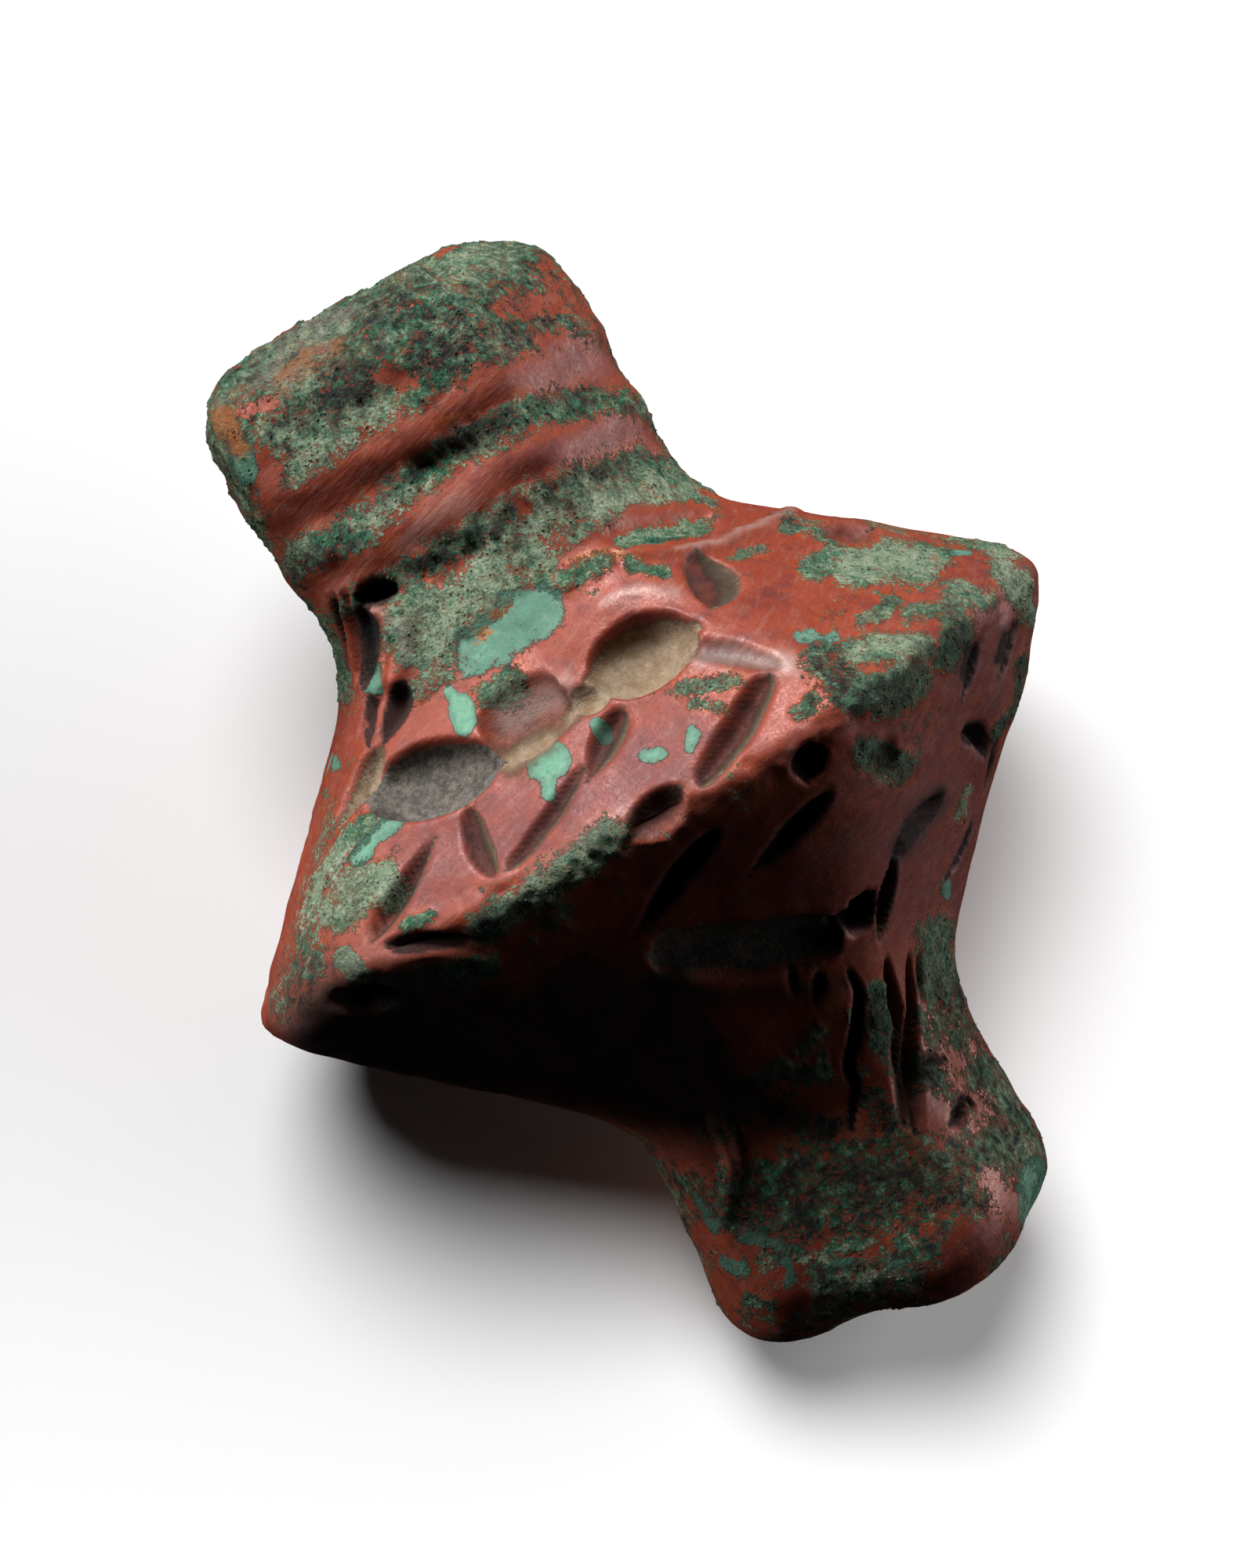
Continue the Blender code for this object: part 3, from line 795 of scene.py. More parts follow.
HEAD_STAINS = stains(
    ("head_crust", CRUST, ((300, 560), (450, 430), (640, 360), (760, 520)), 300, 0.6, 50),
    ("neck_crust", CRUST, ((400, 740), (620, 640), (840, 590)), 130, 0.8, 40),
    ("neck_red", CRUST, ((728, 712), (775, 680), (815, 656), (900, 652)), 26, -0.9, 14),
    ("welt_bare", CRUST, ((475, 775), (516, 803), (520, 850)), 30, -1.0, 12),
    ("welt_ochre", SCUFF_AND_HIGHLIGHT, ((480, 778), (518, 805), (522, 845)), 20, 0.5),
    ("channel_green", CRUST, ((462, 800), (466, 850)), 18, 1.0, 10),
    ("top_mottle", MOTTLE, ((540, 440), (640, 420), (710, 370)), 120, 0.35),
    ("left_mottle", MOTTLE, ((340, 530), (340, 640)), 60, 0.9),
    ("top_red", CRUST, ((655, 386), (735, 384)), 30, -0.15, 26),
    ("edge_red", CRUST, ((700, 335), (738, 380), (765, 420)), 34, -0.1, 24),
    ("corner_red", CRUST, ((700, 440), (770, 450)), 36, -0.5, 26),
    ("upper_fleck", CRUST, ((490, 478), (520, 486)), 26, -0.45, 20),
    ("first_band_left", CRUST, ((372, 668), (430, 622), (530, 556)), 64, -1.0, 30),
    ("first_band_middle", CRUST, ((520, 560), (600, 512), (650, 486)), 52, -1.0, 26),
    ("first_band_right", CRUST, ((640, 488), (735, 462), (800, 474)), 54, -1.0, 26),
    ("second_band_left", CRUST, ((380, 780), (430, 738), (500, 694)), 46, -1.0, 24),
    ("second_band_middle", CRUST, ((490, 698), (560, 654), (625, 608)), 54, -1.0, 24),
    ("second_band_right", CRUST, ((615, 612), (700, 570), (795, 546)), 56, -1.0, 26),
    ("second_band_end", CRUST, ((825, 548), (850, 562)), 26, -0.7, 18),
    ("band_drip", CRUST, ((664, 640), (668, 652)), 16, -0.7, 12),
    ("left_red", CRUST, ((338, 600), (352, 640)), 40, -0.6, 26),
    ("low_left_red", CRUST, ((350, 690), (356, 735)), 26, -0.6, 20),
    ("rim_red", CRUST, ((306, 518), (348, 512)), 18, -0.6, 14),
    ("streak_brown", ORANGE, ((356, 486), (420, 442)), 30, 0.25, 22),
    ("hollow_green", CRUST, ((526, 607), (570, 570), (645, 532)), 34, 1.0, 20),
    ("hollow_dark", DARK, ((570, 568), (645, 530)), 24),
    ("middle_green", CRUST, ((650, 540), (700, 525), (800, 512)), 30, 0.9, 22),
    ("low_left_green", CRUST, ((375, 715), (420, 690), (460, 684)), 42, 0.9, 24),
    ("left_green", CRUST, ((310, 640), (335, 690)), 26, 0.7, 20),
    ("first_band_worn", WORN, ((380, 650), (500, 580), (620, 510)), 90),
    ("second_band_worn", WORN, ((400, 760), (520, 690), (640, 610)), 66),
    ("streak_worn", WORN, ((352, 494), (422, 440)), 50),
    ("streak_ochre", SCUFF_AND_HIGHLIGHT, ((360, 485), (415, 445)), 26, 0.35),
    ("band_light", SCUFF_AND_HIGHLIGHT, ((520, 690), (560, 655), (590, 640)), 34, 0.35),
    ("rim_smooth", SCUFF_AND_HIGHLIGHT, ((335, 470), (380, 420), (440, 392)), 36, 0.4),
    ("right_band_mauve", PURPLE, ((650, 500), (760, 470)), 80, 0.6),
    ("low_band_mauve", PURPLE, ((640, 610), (780, 560)), 80, 0.6),
    ("upper_pale", PALE, ((390, 604), (440, 565), (510, 518)), 34),
    ("left_pale_crust", PALE, ((310, 552), (385, 570)), 44, 0.5),
    ("middle_pale", PALE, ((470, 668), (560, 625), (640, 560)), 34),
    ("waist_pale", PALE, ((545, 800), (640, 716), (760, 655), (850, 636)), 84, 0.9),
    ("rim_pale", PALE, ((560, 345), (640, 320)), 40, 0.6),
    ("upper_dark", DARK, ((440, 480), (560, 462), (660, 425)), 64, 0.8),
    ("streak_dark", DARK, ((380, 520), (470, 492)), 34, 0.9),
    ("rim_dark", DARK, ((476, 400), (560, 380), (650, 372)), 60, 0.6),
    ("middle_dark", DARK, ((480, 640), (545, 596), (650, 530)), 26),
    ("right_dark", DARK, ((700, 500), (800, 492)), 24, 0.9),
    ("waist_dark", DARK, ((500, 748), (570, 704), (665, 662)), 34),
    ("right_waist_dark", DARK, ((700, 612), (800, 588)), 34, 0.9),
    ("left_dark", DARK, ((380, 740), (440, 700)), 30, 0.8),
    ("hollow_vivid", VIVID, ((530, 607), (558, 590)), 34),
    ("low_vivid", VIVID, ((400, 690), (460, 684)), 30),
    ("spot_vivid", VIVID, ((560, 482), (596, 480)), 26, 0.9),
    ("right_vivid", VIVID, ((660, 540), (800, 510)), 28, 0.8),
    ("orange_spot", ORANGE, ((283, 530), (301, 572)), 30, 1.0, 12),
    ("orange_fleck", ORANGE, ((548, 540), (600, 528)), 10, 0.6, 12),
    ("turquoise_spot", TURQUOISE, ((306, 588), (312, 602)), 34, 1.0, 8),
)

HEAD_SLOPE_STAINS = stains(
    # Painted highlights on the lit top of the hind leg and the lit brow over the haunch.
    ("leg_painted_highlight", SCUFF_AND_HIGHLIGHT, ((893, 836), (950, 834), (1003, 846)), 26, 0.9),
    ("haunch_painted_highlight", SCUFF_AND_HIGHLIGHT, ((770, 768), (815, 753), (860, 755)), 20, 0.5),
    ("belly_scuff", SCUFF_AND_HIGHLIGHT, ((640, 905), (690, 885)), 30, 0.6),
    ("flake_edge", SCUFF_AND_HIGHLIGHT, ((860, 703), (910, 697), (960, 676), (1010, 660)), 8, 0.7),
    # A painted highlight along the ridge's lit edge.
    ("ridge_painted_highlight", SCUFF_AND_HIGHLIGHT, ((680, 1120), (730, 1085), (800, 1035)), 26, 0.35),
    ("slope_mauve", PURPLE, ((560, 1100), (650, 1050), (760, 1010), (850, 950)), 140, 0.8),
    ("slope_red", CRUST, ((560, 960), (760, 860), (1000, 760)), 130, -1.0, 40),
    ("ridge_red", CRUST, ((560, 1100), (760, 1000), (960, 880)), 130, -1.0, 40),
    ("back_red", CRUST, ((730, 730), (900, 725), (1060, 730)), 60, -1.0, 26),
    ("lower_crust", CRUST, ((540, 800), (600, 790), (660, 730)), 110, 0.9, 26),
    ("sheet_clear", CRUST, ((622, 832), (652, 802), (680, 788)), 84, -0.7, 16),
    ("sheet_bay", CRUST, ((598, 800), (640, 760)), 30, 0.8, 14),
    ("sheet", TURQUOISE, ((614, 826), (640, 806), (690, 782)), 62, 0.45, 30),
    ("sheet_top", TURQUOISE, ((650, 770), (698, 762)), 36, 0.4, 24),
    ("sheet_ochre", ORANGE, ((632, 782), (650, 771)), 11, 0.35, 14),
    ("low_ochre", ORANGE, ((607, 818), (622, 803)), 12, 0.4, 14),
    ("sheet_low", TURQUOISE, ((596, 848), (640, 842)), 26, 0.35, 22),
    ("under_sheet", CRUST, ((622, 888), (655, 868)), 36, 1.0, 16),
    ("edge_flecks", CRUST, ((530, 885), (560, 860)), 30, 0.35, 20),
    ("belly_earth", EARTH, ((650, 968), (668, 950), (690, 938)), 54),
    ("belly_low_earth", EARTH, ((726, 905), (740, 892)), 36),
    ("belly_grey", SCUFF_AND_HIGHLIGHT, ((640, 915), (690, 880), (718, 870)), 34, 0.45),
    ("first_mint", TURQUOISE, ((588, 900), (594, 922)), 32, 1.0, 7),
    ("second_mint", TURQUOISE, ((575, 884), (577, 889)), 20, 1.0, 7),
    ("large_mint", TURQUOISE, ((694, 975), (708, 968)), 46, 1.0, 8),
    ("mint_tail", TURQUOISE, ((703, 990), (701, 1012)), 20, 1.0, 12),
    ("knee_mint", TURQUOISE, ((763, 922), (769, 933)), 20, 1.0, 8),
    ("leg_mint", TURQUOISE, ((828, 964), (842, 960)), 20, 1.0, 10),
    ("hind_mint", TURQUOISE, ((879, 955), (884, 935)), 16, 0.9, 12),
    ("thigh_green", CRUST, ((872, 882), (900, 872), (938, 870)), 20, 1.0, 12),
    ("low_thigh_green", CRUST, ((884, 898), (918, 904)), 13, 0.9, 12),
    ("rump_green", CRUST, ((722, 738), (768, 716)), 28, 1.0, 14),
    ("back_green", CRUST, ((805, 722), (848, 731)), 20, 1.0, 10),
    ("tail_green", CRUST, ((935, 712), (950, 704), (975, 700)), 13, 0.9, 10),
    ("rump_vivid", VIVID, ((730, 730), (848, 728)), 30, 0.9),
    ("orange_rim", ORANGE, ((738, 712), (770, 702), (790, 712)), 10, 0.3, 14),
    ("right_mint", TURQUOISE, ((1022, 812), (1042, 810)), 17, 0.35, 9),
    ("second_right_mint", TURQUOISE, ((1058, 814), (1068, 810)), 14, 0.35, 9),
    ("flake_green", CRUST, ((795, 690), (845, 676), (900, 667)), 26, 1.0, 8),
    ("flake_vivid", VIVID, ((795, 690), (880, 672)), 40),
    ("foreleg_bare", CRUST, ((502, 1178), (530, 1130), (552, 1090)), 34, -1.0, 12),
    ("neck_mint", TURQUOISE, ((468, 850), (476, 876)), 22, 0.7, 10),
    ("edge_mint", TURQUOISE, ((420, 958), (425, 975)), 18, 0.7, 8),
    ("edge_spot", CRUST, ((409, 1000), (412, 1014)), 18, 1.0, 8),
    ("flank_dust", CRUST, ((395, 1040), (360, 1160), (345, 1270)), 60, 0.15, 30),
    ("hoof_turquoise", TURQUOISE, ((458, 1095), (480, 1072), (504, 1052)), 24, 1.0, 12),
    ("left_crust", CRUST, ((408, 1125), (440, 1080), (480, 1044)), 30, 1.0, 12),
    ("corner_crust", CRUST, ((432, 1160), (460, 1130), (486, 1128)), 62, 1.0, 16),
    ("corner_pale", PALE, ((400, 1150), (440, 1110), (490, 1130)), 90),
    ("left_edge", CRUST, ((383, 1070), (370, 1112)), 24, 0.9, 14),
    ("left_edge_pale", PALE, ((383, 1070), (345, 1270)), 50),
    ("wedge_green", CRUST, ((522, 1180), (548, 1166)), 20, 1.0, 12),
    ("wedge_vivid", VIVID, ((522, 1180), (548, 1166)), 26, 0.8),
    ("far_edge", CRUST, ((350, 1180), (342, 1240), (352, 1285)), 24, 0.8, 18),
    ("corner_flecks", CRUST, ((390, 1150), (395, 1230)), 40, 0.3, 22),
    ("corner_mottle", MOTTLE, ((370, 1150), (380, 1260)), 90, 0.8),
    ("corner_ochre", ORANGE, ((396, 1282), (425, 1258)), 20, 1.0, 12),
    ("drip", CRUST, ((440, 1222), (468, 1244), (496, 1280)), 30, 1.0, 10),
    ("drip_pale", PALE, ((445, 1228), (468, 1248), (490, 1276)), 60),
    ("ridge_low_green", CRUST, ((505, 1252), (560, 1252), (620, 1232)), 40, 1.0, 18),
    ("ridge_low_vivid", VIVID, ((505, 1252), (560, 1252), (620, 1232)), 50),
    ("ridge_green", CRUST, ((615, 1182), (690, 1136), (745, 1098), (782, 1066)), 44, 1.0, 18),
    ("ridge_dark", DARK, ((640, 1210), (720, 1165), (790, 1100)), 30, 0.4),
    ("ridge_pale", PALE, ((640, 1145), (690, 1130)), 26, 0.6),
)

RIGHT_STAINS = stains(
    ("arm_green", CRUST, ((1003, 673), (1040, 680), (1062, 702)), 18, 1.0, 12),
    ("arm_low", CRUST, ((1035, 726), (1072, 714), (1100, 736)), 32, 1.0, 14),
    ("shoulder_crust", CRUST, ((1085, 724), (1130, 720), (1195, 726)), 48, 1.0, 16),
    ("shoulder_pale", PALE, ((1080, 722), (1130, 715), (1190, 722)), 40, 0.9),
    ("arm_vivid", VIVID, ((1035, 700), (1090, 730)), 40, 0.9),
    ("vivid_fleck", VIVID, ((1180, 702), (1235, 712)), 26),
    ("mint_fleck", TURQUOISE, ((1218, 714), (1234, 712)), 12, 1.0, 7),
    ("top_strands", CRUST, ((1120, 664), (1200, 676), (1290, 706)), 36, 1.0, 16),
    ("strand_dark", DARK, ((1130, 668), (1190, 680), (1262, 702)), 26),
    ("strand_pale", PALE, ((1190, 690), (1262, 706), (1300, 724)), 14),
    ("red_arm", CRUST, ((1200, 738), (1232, 726), (1262, 738)), 16, -0.9, 12),
    ("corner_green", CRUST, ((1275, 728), (1300, 752), (1312, 785)), 36, 1.0, 16),
    ("corner_side_pale", PALE, ((1275, 728), (1300, 752), (1310, 780)), 44, 0.8),
    ("grey_island", CRUST, ((1215, 752), (1255, 768)), 28, 1.0, 16),
    ("upper_island", CRUST, ((1100, 790), (1120, 780), (1142, 766)), 18, 1.0, 9),
    ("joined_island", CRUST, ((1160, 782), (1200, 776)), 24, 1.0, 12),
    ("grey_column", CRUST, ((1212, 775), (1226, 800), (1208, 838)), 40, 0.9, 18),
    ("column_dark", DARK, ((1212, 775), (1226, 800), (1208, 838)), 50, 0.7),
    ("cream_island", CRUST, ((1085, 830), (1115, 822), (1175, 826)), 38, 1.0, 14),
    ("cream_left", PALE, ((1085, 832), (1110, 822), (1130, 818)), 26),
    ("cream_right", PALE, ((1150, 818), (1172, 842)), 30),
    ("island_shadow", DARK, ((1125, 800), (1160, 800)), 18, 0.9),
    ("dark_island", CRUST, ((1050, 842), (1085, 882), (1125, 886), (1162, 866)), 58, 1.0, 18),
    ("island_dark", DARK, ((1060, 860), (1090, 885), (1150, 880)), 66, 0.8),
    ("left_island", CRUST, ((1018, 908), (1042, 892)), 20, 1.0, 12),
    ("island_mottle", MOTTLE, ((1040, 870), (1060, 850)), 60, 0.9),
    ("edge_strip", CRUST, ((1296, 842), (1286, 895), (1262, 940)), 16, 1.0, 9),
    ("strip_dark", DARK, ((1296, 842), (1286, 895), (1262, 940)), 30, 0.9),
    ("pit_green", CRUST, ((1108, 960), (1140, 978)), 46, 1.0, 14),
    ("pit_green_dark", DARK, ((1108, 960), (1140, 978)), 60, 0.7),
    ("wall_cream", CRUST, ((1236, 1004), (1222, 1046)), 14, 0.9, 9),
    ("wall_cream_pale", PALE, ((1236, 1004), (1222, 1046)), 20),
    # Black in the horn and the two nicks: dark dirt, and painted shade over walls that the side
    # lamp lights.
    ("horn_dirt_and_painted_shade", SOOT_AND_SHADE, ((1196, 1018), (1172, 1046), (1150, 1080)), 34),
    ("first_nick_dirt_and_painted_shade", SOOT_AND_SHADE, ((1238, 828), (1232, 866)), 14),
    ("second_nick_dirt_and_painted_shade", SOOT_AND_SHADE, ((1278, 806), (1272, 840)), 12),
    ("right_purple", PURPLE, ((1270, 800), (1220, 900), (1160, 1020), (1190, 1100)), 180, 1.0),
)

FOOT_STAINS = stains(
    ("foot_purple", PURPLE, ((900, 1100), (1180, 1100)), 200, 0.7),
    ("slope_bare", CRUST, ((900, 1090), (1150, 1080)), 150, -1.0, 60),
    ("belly_bare", CRUST, ((760, 1260), (850, 1300), (1040, 1300)), 120, -1.0, 50),
    ("grey_patch", CRUST, ((1196, 1190), (1196, 1262)), 50, 1.0, 16),
    ("grey_patch_tone", PALE, ((1190, 1200), (1195, 1260)), 50, 0.3),
    ("grey_patch_tail", CRUST, ((1215, 1260), (1222, 1320)), 40, 0.5, 20),
    ("slit_green", TURQUOISE, ((1206, 1126), (1206, 1142)), 12, 1.0, 6),
    ("shin_green", CRUST, ((1122, 1268), (1122, 1330)), 34, 1.0, 8),
    ("shin_vivid", VIVID, ((1130, 1310), (1136, 1322)), 20),
    ("shin_green_dark", DARK, ((1115, 1275), (1118, 1315)), 34, 0.9),
    ("shin_green_low", CRUST, ((1118, 1402), (1132, 1432)), 34, 1.0, 12),
    ("shin_small", CRUST, ((1086, 1292), (1086, 1318)), 12, 0.9, 8),
    ("shin_dark_low", DARK, ((1118, 1402), (1132, 1432)), 40, 0.8),
    ("hip_green", CRUST, ((1022, 1342), (1048, 1314)), 20, 0.9, 10),
    ("hip_cream", CRUST, ((1050, 1350), (1057, 1392)), 18, 1.0, 9),
    ("hip_cream_pale", PALE, ((1050, 1350), (1057, 1392)), 24),
    ("low_crust", CRUST, ((962, 1388), (1000, 1362), (1032, 1372)), 28, 0.9, 14),
    ("low_dark", DARK, ((925, 1390), (1000, 1370), (1060, 1440)), 50, 0.9),
    ("cream_flecks", PALE, ((930, 1402), (985, 1412)), 18, 0.9),
    ("flecks_crust", CRUST, ((930, 1402), (985, 1412)), 22, 0.6, 14),
    ("waist_red", CRUST, ((1030, 1405), (1075, 1410)), 44, -0.8, 18),
    ("foot_red_left", CRUST, ((850, 1460), (905, 1480), (985, 1450)), 46, -0.9, 22),
    ("foot_crust", CRUST, ((950, 1540), (1060, 1520), (1160, 1500)), 120, 0.55, 40),
    ("foot_mottle", MOTTLE, ((900, 1560), (1100, 1540), (1180, 1600)), 200),
    ("foot_dark", DARK, ((960, 1530), (1060, 1530), (1160, 1515)), 120, 0.7),
    ("left_grey", CRUST, ((862, 1505), (900, 1520)), 30, 0.8, 18),
    ("left_turquoise", TURQUOISE, ((888, 1525), (915, 1562)), 16, 0.4, 22),
    ("left_orange", CRUST, ((885, 1575), (950, 1592)), 34, -0.7, 18),
    ("heel_turquoise", TURQUOISE, ((925, 1610), (948, 1622)), 20, 0.4, 20),
    ("middle_turquoise", TURQUOISE, ((960, 1578), (985, 1585)), 24, 0.4, 24),
    ("vivid_patch", TURQUOISE, ((1004, 1612), (1010, 1632)), 20, 0.4, 20),
    ("heel_red", CRUST, ((915, 1645), (1000, 1672), (1030, 1650)), 50, -0.9, 18),
    ("heel_green", CRUST, ((950, 1662), (982, 1672)), 22, 1.0, 9),
    ("heel_vivid", VIVID, ((950, 1662), (982, 1672)), 30),
    ("foot_vivid", VIVID, ((960, 1530), (1060, 1600), (1160, 1620)), 130, 0.9),
    ("low_green", CRUST, ((1050, 1620), (1055, 1680)), 40, 0.9, 16),
    ("low_green_right", CRUST, ((1090, 1640), (1190, 1600)), 60, 0.8, 24),
    ("foot_cream", PALE, ((1025, 1607), (1110, 1582)), 14),
    ("foot_cream_crust", CRUST, ((1025, 1607), (1110, 1582)), 16, 1.0, 8),
    ("foot_cream_low", PALE, ((1095, 1636), (1145, 1610)), 12),
    ("bright_fleck", TURQUOISE, ((1066, 1612), (1088, 1608)), 12, 0.9, 8),
    ("second_bright_fleck", TURQUOISE, ((1134, 1614), (1150, 1608)), 12, 0.9, 8),
    ("foot_red_right", CRUST, ((1205, 1625), (1250, 1575)), 54, -1.0, 18),
    ("foot_purple_right", PURPLE, ((1205, 1625), (1250, 1575)), 80),
    ("lump_crust", CRUST, ((1175, 1360), (1190, 1385)), 40, 1.0, 14),
    ("lump_dark", DARK, ((1175, 1360), (1190, 1385)), 50, 0.8),
    ("lump_bare", CRUST, ((1180, 1415), (1225, 1450)), 40, -0.8, 16),
    # A painted highlight on the pitted lump.
    ("lump_painted_highlight", SCUFF_AND_HIGHLIGHT, ((1178, 1398), (1200, 1425), (1230, 1450)), 30, 0.25),
    ("side_green", CRUST, ((1258, 1360), (1300, 1430)), 52, 0.9, 24),
    ("side_flecks", MOTTLE, ((1230, 1340), (1260, 1480), (1320, 1480)), 90, 0.7),
    ("grey_side", CRUST, ((1200, 1500), (1250, 1480), (1300, 1460)), 80, 0.7, 30),
    ("grey_side_tone", PALE, ((1200, 1470), (1250, 1500)), 90, 0.4),
    ("side_dark", DARK, ((1150, 1510), (1200, 1520)), 50, 0.8),
    ("rim_bare", CRUST, ((1262, 1508), (1290, 1550)), 30, -0.5, 16),
    # A painted highlight on the pitted rim of the foot.
    ("rim_painted_highlight", SCUFF_AND_HIGHLIGHT, ((1265, 1510), (1290, 1548)), 34, 0.25),
    ("foot_turquoise", TURQUOISE, ((1318, 1500), (1312, 1545)), 46, 0.8, 12),
    ("low_rim_green", CRUST, ((1262, 1600), (1300, 1570)), 30, 0.8, 16),
    # Painted shade: black laid on the ridge's underside, below the body's cut, under the overhang
    # and in the crease, where no light reaches.
    ("under_ridge_painted_shade", SOOT_AND_SHADE, ((430, 1310), (560, 1320), (720, 1330), (860, 1370)), 170, 1.0),
    ("slope_painted_shade", SOOT_AND_SHADE, ((750, 1230), (800, 1290)), 110, 0.5),
    ("body_edge_painted_shade", SOOT_AND_SHADE, ((840, 1256), (900, 1272), (1000, 1272), (1080, 1252)), 26, 0.5),
    ("overhang_painted_shade", SOOT_AND_SHADE, ((870, 1400), (930, 1430), (1020, 1440)), 60, 0.35),
    ("crease_painted_shade", SOOT_AND_SHADE, ((860, 1250), (930, 1395), (1060, 1440)), 40, 0.5),
)

STAINS = HEAD_STAINS + HEAD_SLOPE_STAINS + RIGHT_STAINS + FOOT_STAINS


@dataclass(frozen=True)
class HeadRing:
    """A raised ring round the head, in mm, which may be bare of crust where it isn't seen."""

    along: float
    width: float
    height: float
    bare: bool = True


@dataclass(frozen=True)
class Rows:
    """How many rows of points each part of the seal's length has, from foot to head.

    The ends are the flats, and the ridge's own rows run between two places in mm.
    """

    foot_end: int = 14
    foot_rim: int = 16
    foot: int = 31
    foot_slope: int = 56
    ridge: int = 11
    head_slope: int = 72
    head: int = 40
    head_rim: int = 18
    head_end: int = 10
    ridge_from: float = -0.6
    ridge_to: float = 0.9


@dataclass(frozen=True)
class CutEdges:
    """How the edges of every cut are worn, and the lips that the tools raised.

    Softness, lip width and margin are in mm, the waver is a share of the crust's, the
    narrowest place is a share of the stroke's width, and the lip's height of its depth.
    The lip's growth is what its width gains for each mm of the stroke's.
    """

    softness: float = 0.10
    waver: float = 0.25
    narrowest: float = 0.16
    lip_width: float = 0.10
    lip_growth: float = 0.06
    lip_height: float = 0.03
    margin: float = 0.6


@dataclass(frozen=True)
class Unevenness:
    """Heights of what makes the skin uneven, and the width of the ridge's crest, in mm."""

    lumps: float = 0.15
    dents: float = 0.05
    crust: float = 0.05
    granules: float = 0.13
    crumbs: float = 0.09
    head_dents: float = 0.10
    head_loss: float = 0.15
    rim_loss: float = 0.10
    rim_chips: float = 0.42
    crest_dents: float = 0.10
    crest_chips: float = 0.30
    crest_width: float = 1.1


@dataclass
class Surface:
    """Every point of the seal's fine skin, and what the rest of the script asks of it.

    Attributes:
        base: The uncarved points in the seal's own frame.
        out: The outward directions there.
        wandered: The points as the edges of crust and wear see them, a little astray.
        pixels: Where the points fall in the photograph.
        seen: How well the photograph shows them, from 0 to 1.
        layers: What is painted on them, by mineral.
    """

    base: Array
    out: Array
    wandered: Array
    pixels: Array
    seen: Array
    layers: dict[Mineral, Array] = field(default_factory=dict)

    def near(self, path: Array, reach: float) -> Array:
        """The numbers of the points within reach of the box round a path."""
        inside = (self.base > path.min(axis=0) - reach) & (self.base < path.max(axis=0) + reach)
        return np.flatnonzero(np.all(inside, axis=1))


@dataclass(frozen=True)
class Cut:
    """How one stroke meets the points about it.

    Attributes:
        near: The numbers of those points.
        distance: How far each is from the stroke's middle line, in mm.
        side: 1 for a point to the left of that line, seen from outside, or -1.
        plan: The cut's width beside each point, as a share of the stroke's.
        half_width: Half of that width in mm.
        bowl: How deep the cut is at each point, from 0 to 1 on its deepest line.
    """

    near: Array
    distance: Array
    side: Array
    plan: Array
    half_width: Array
    bowl: Array


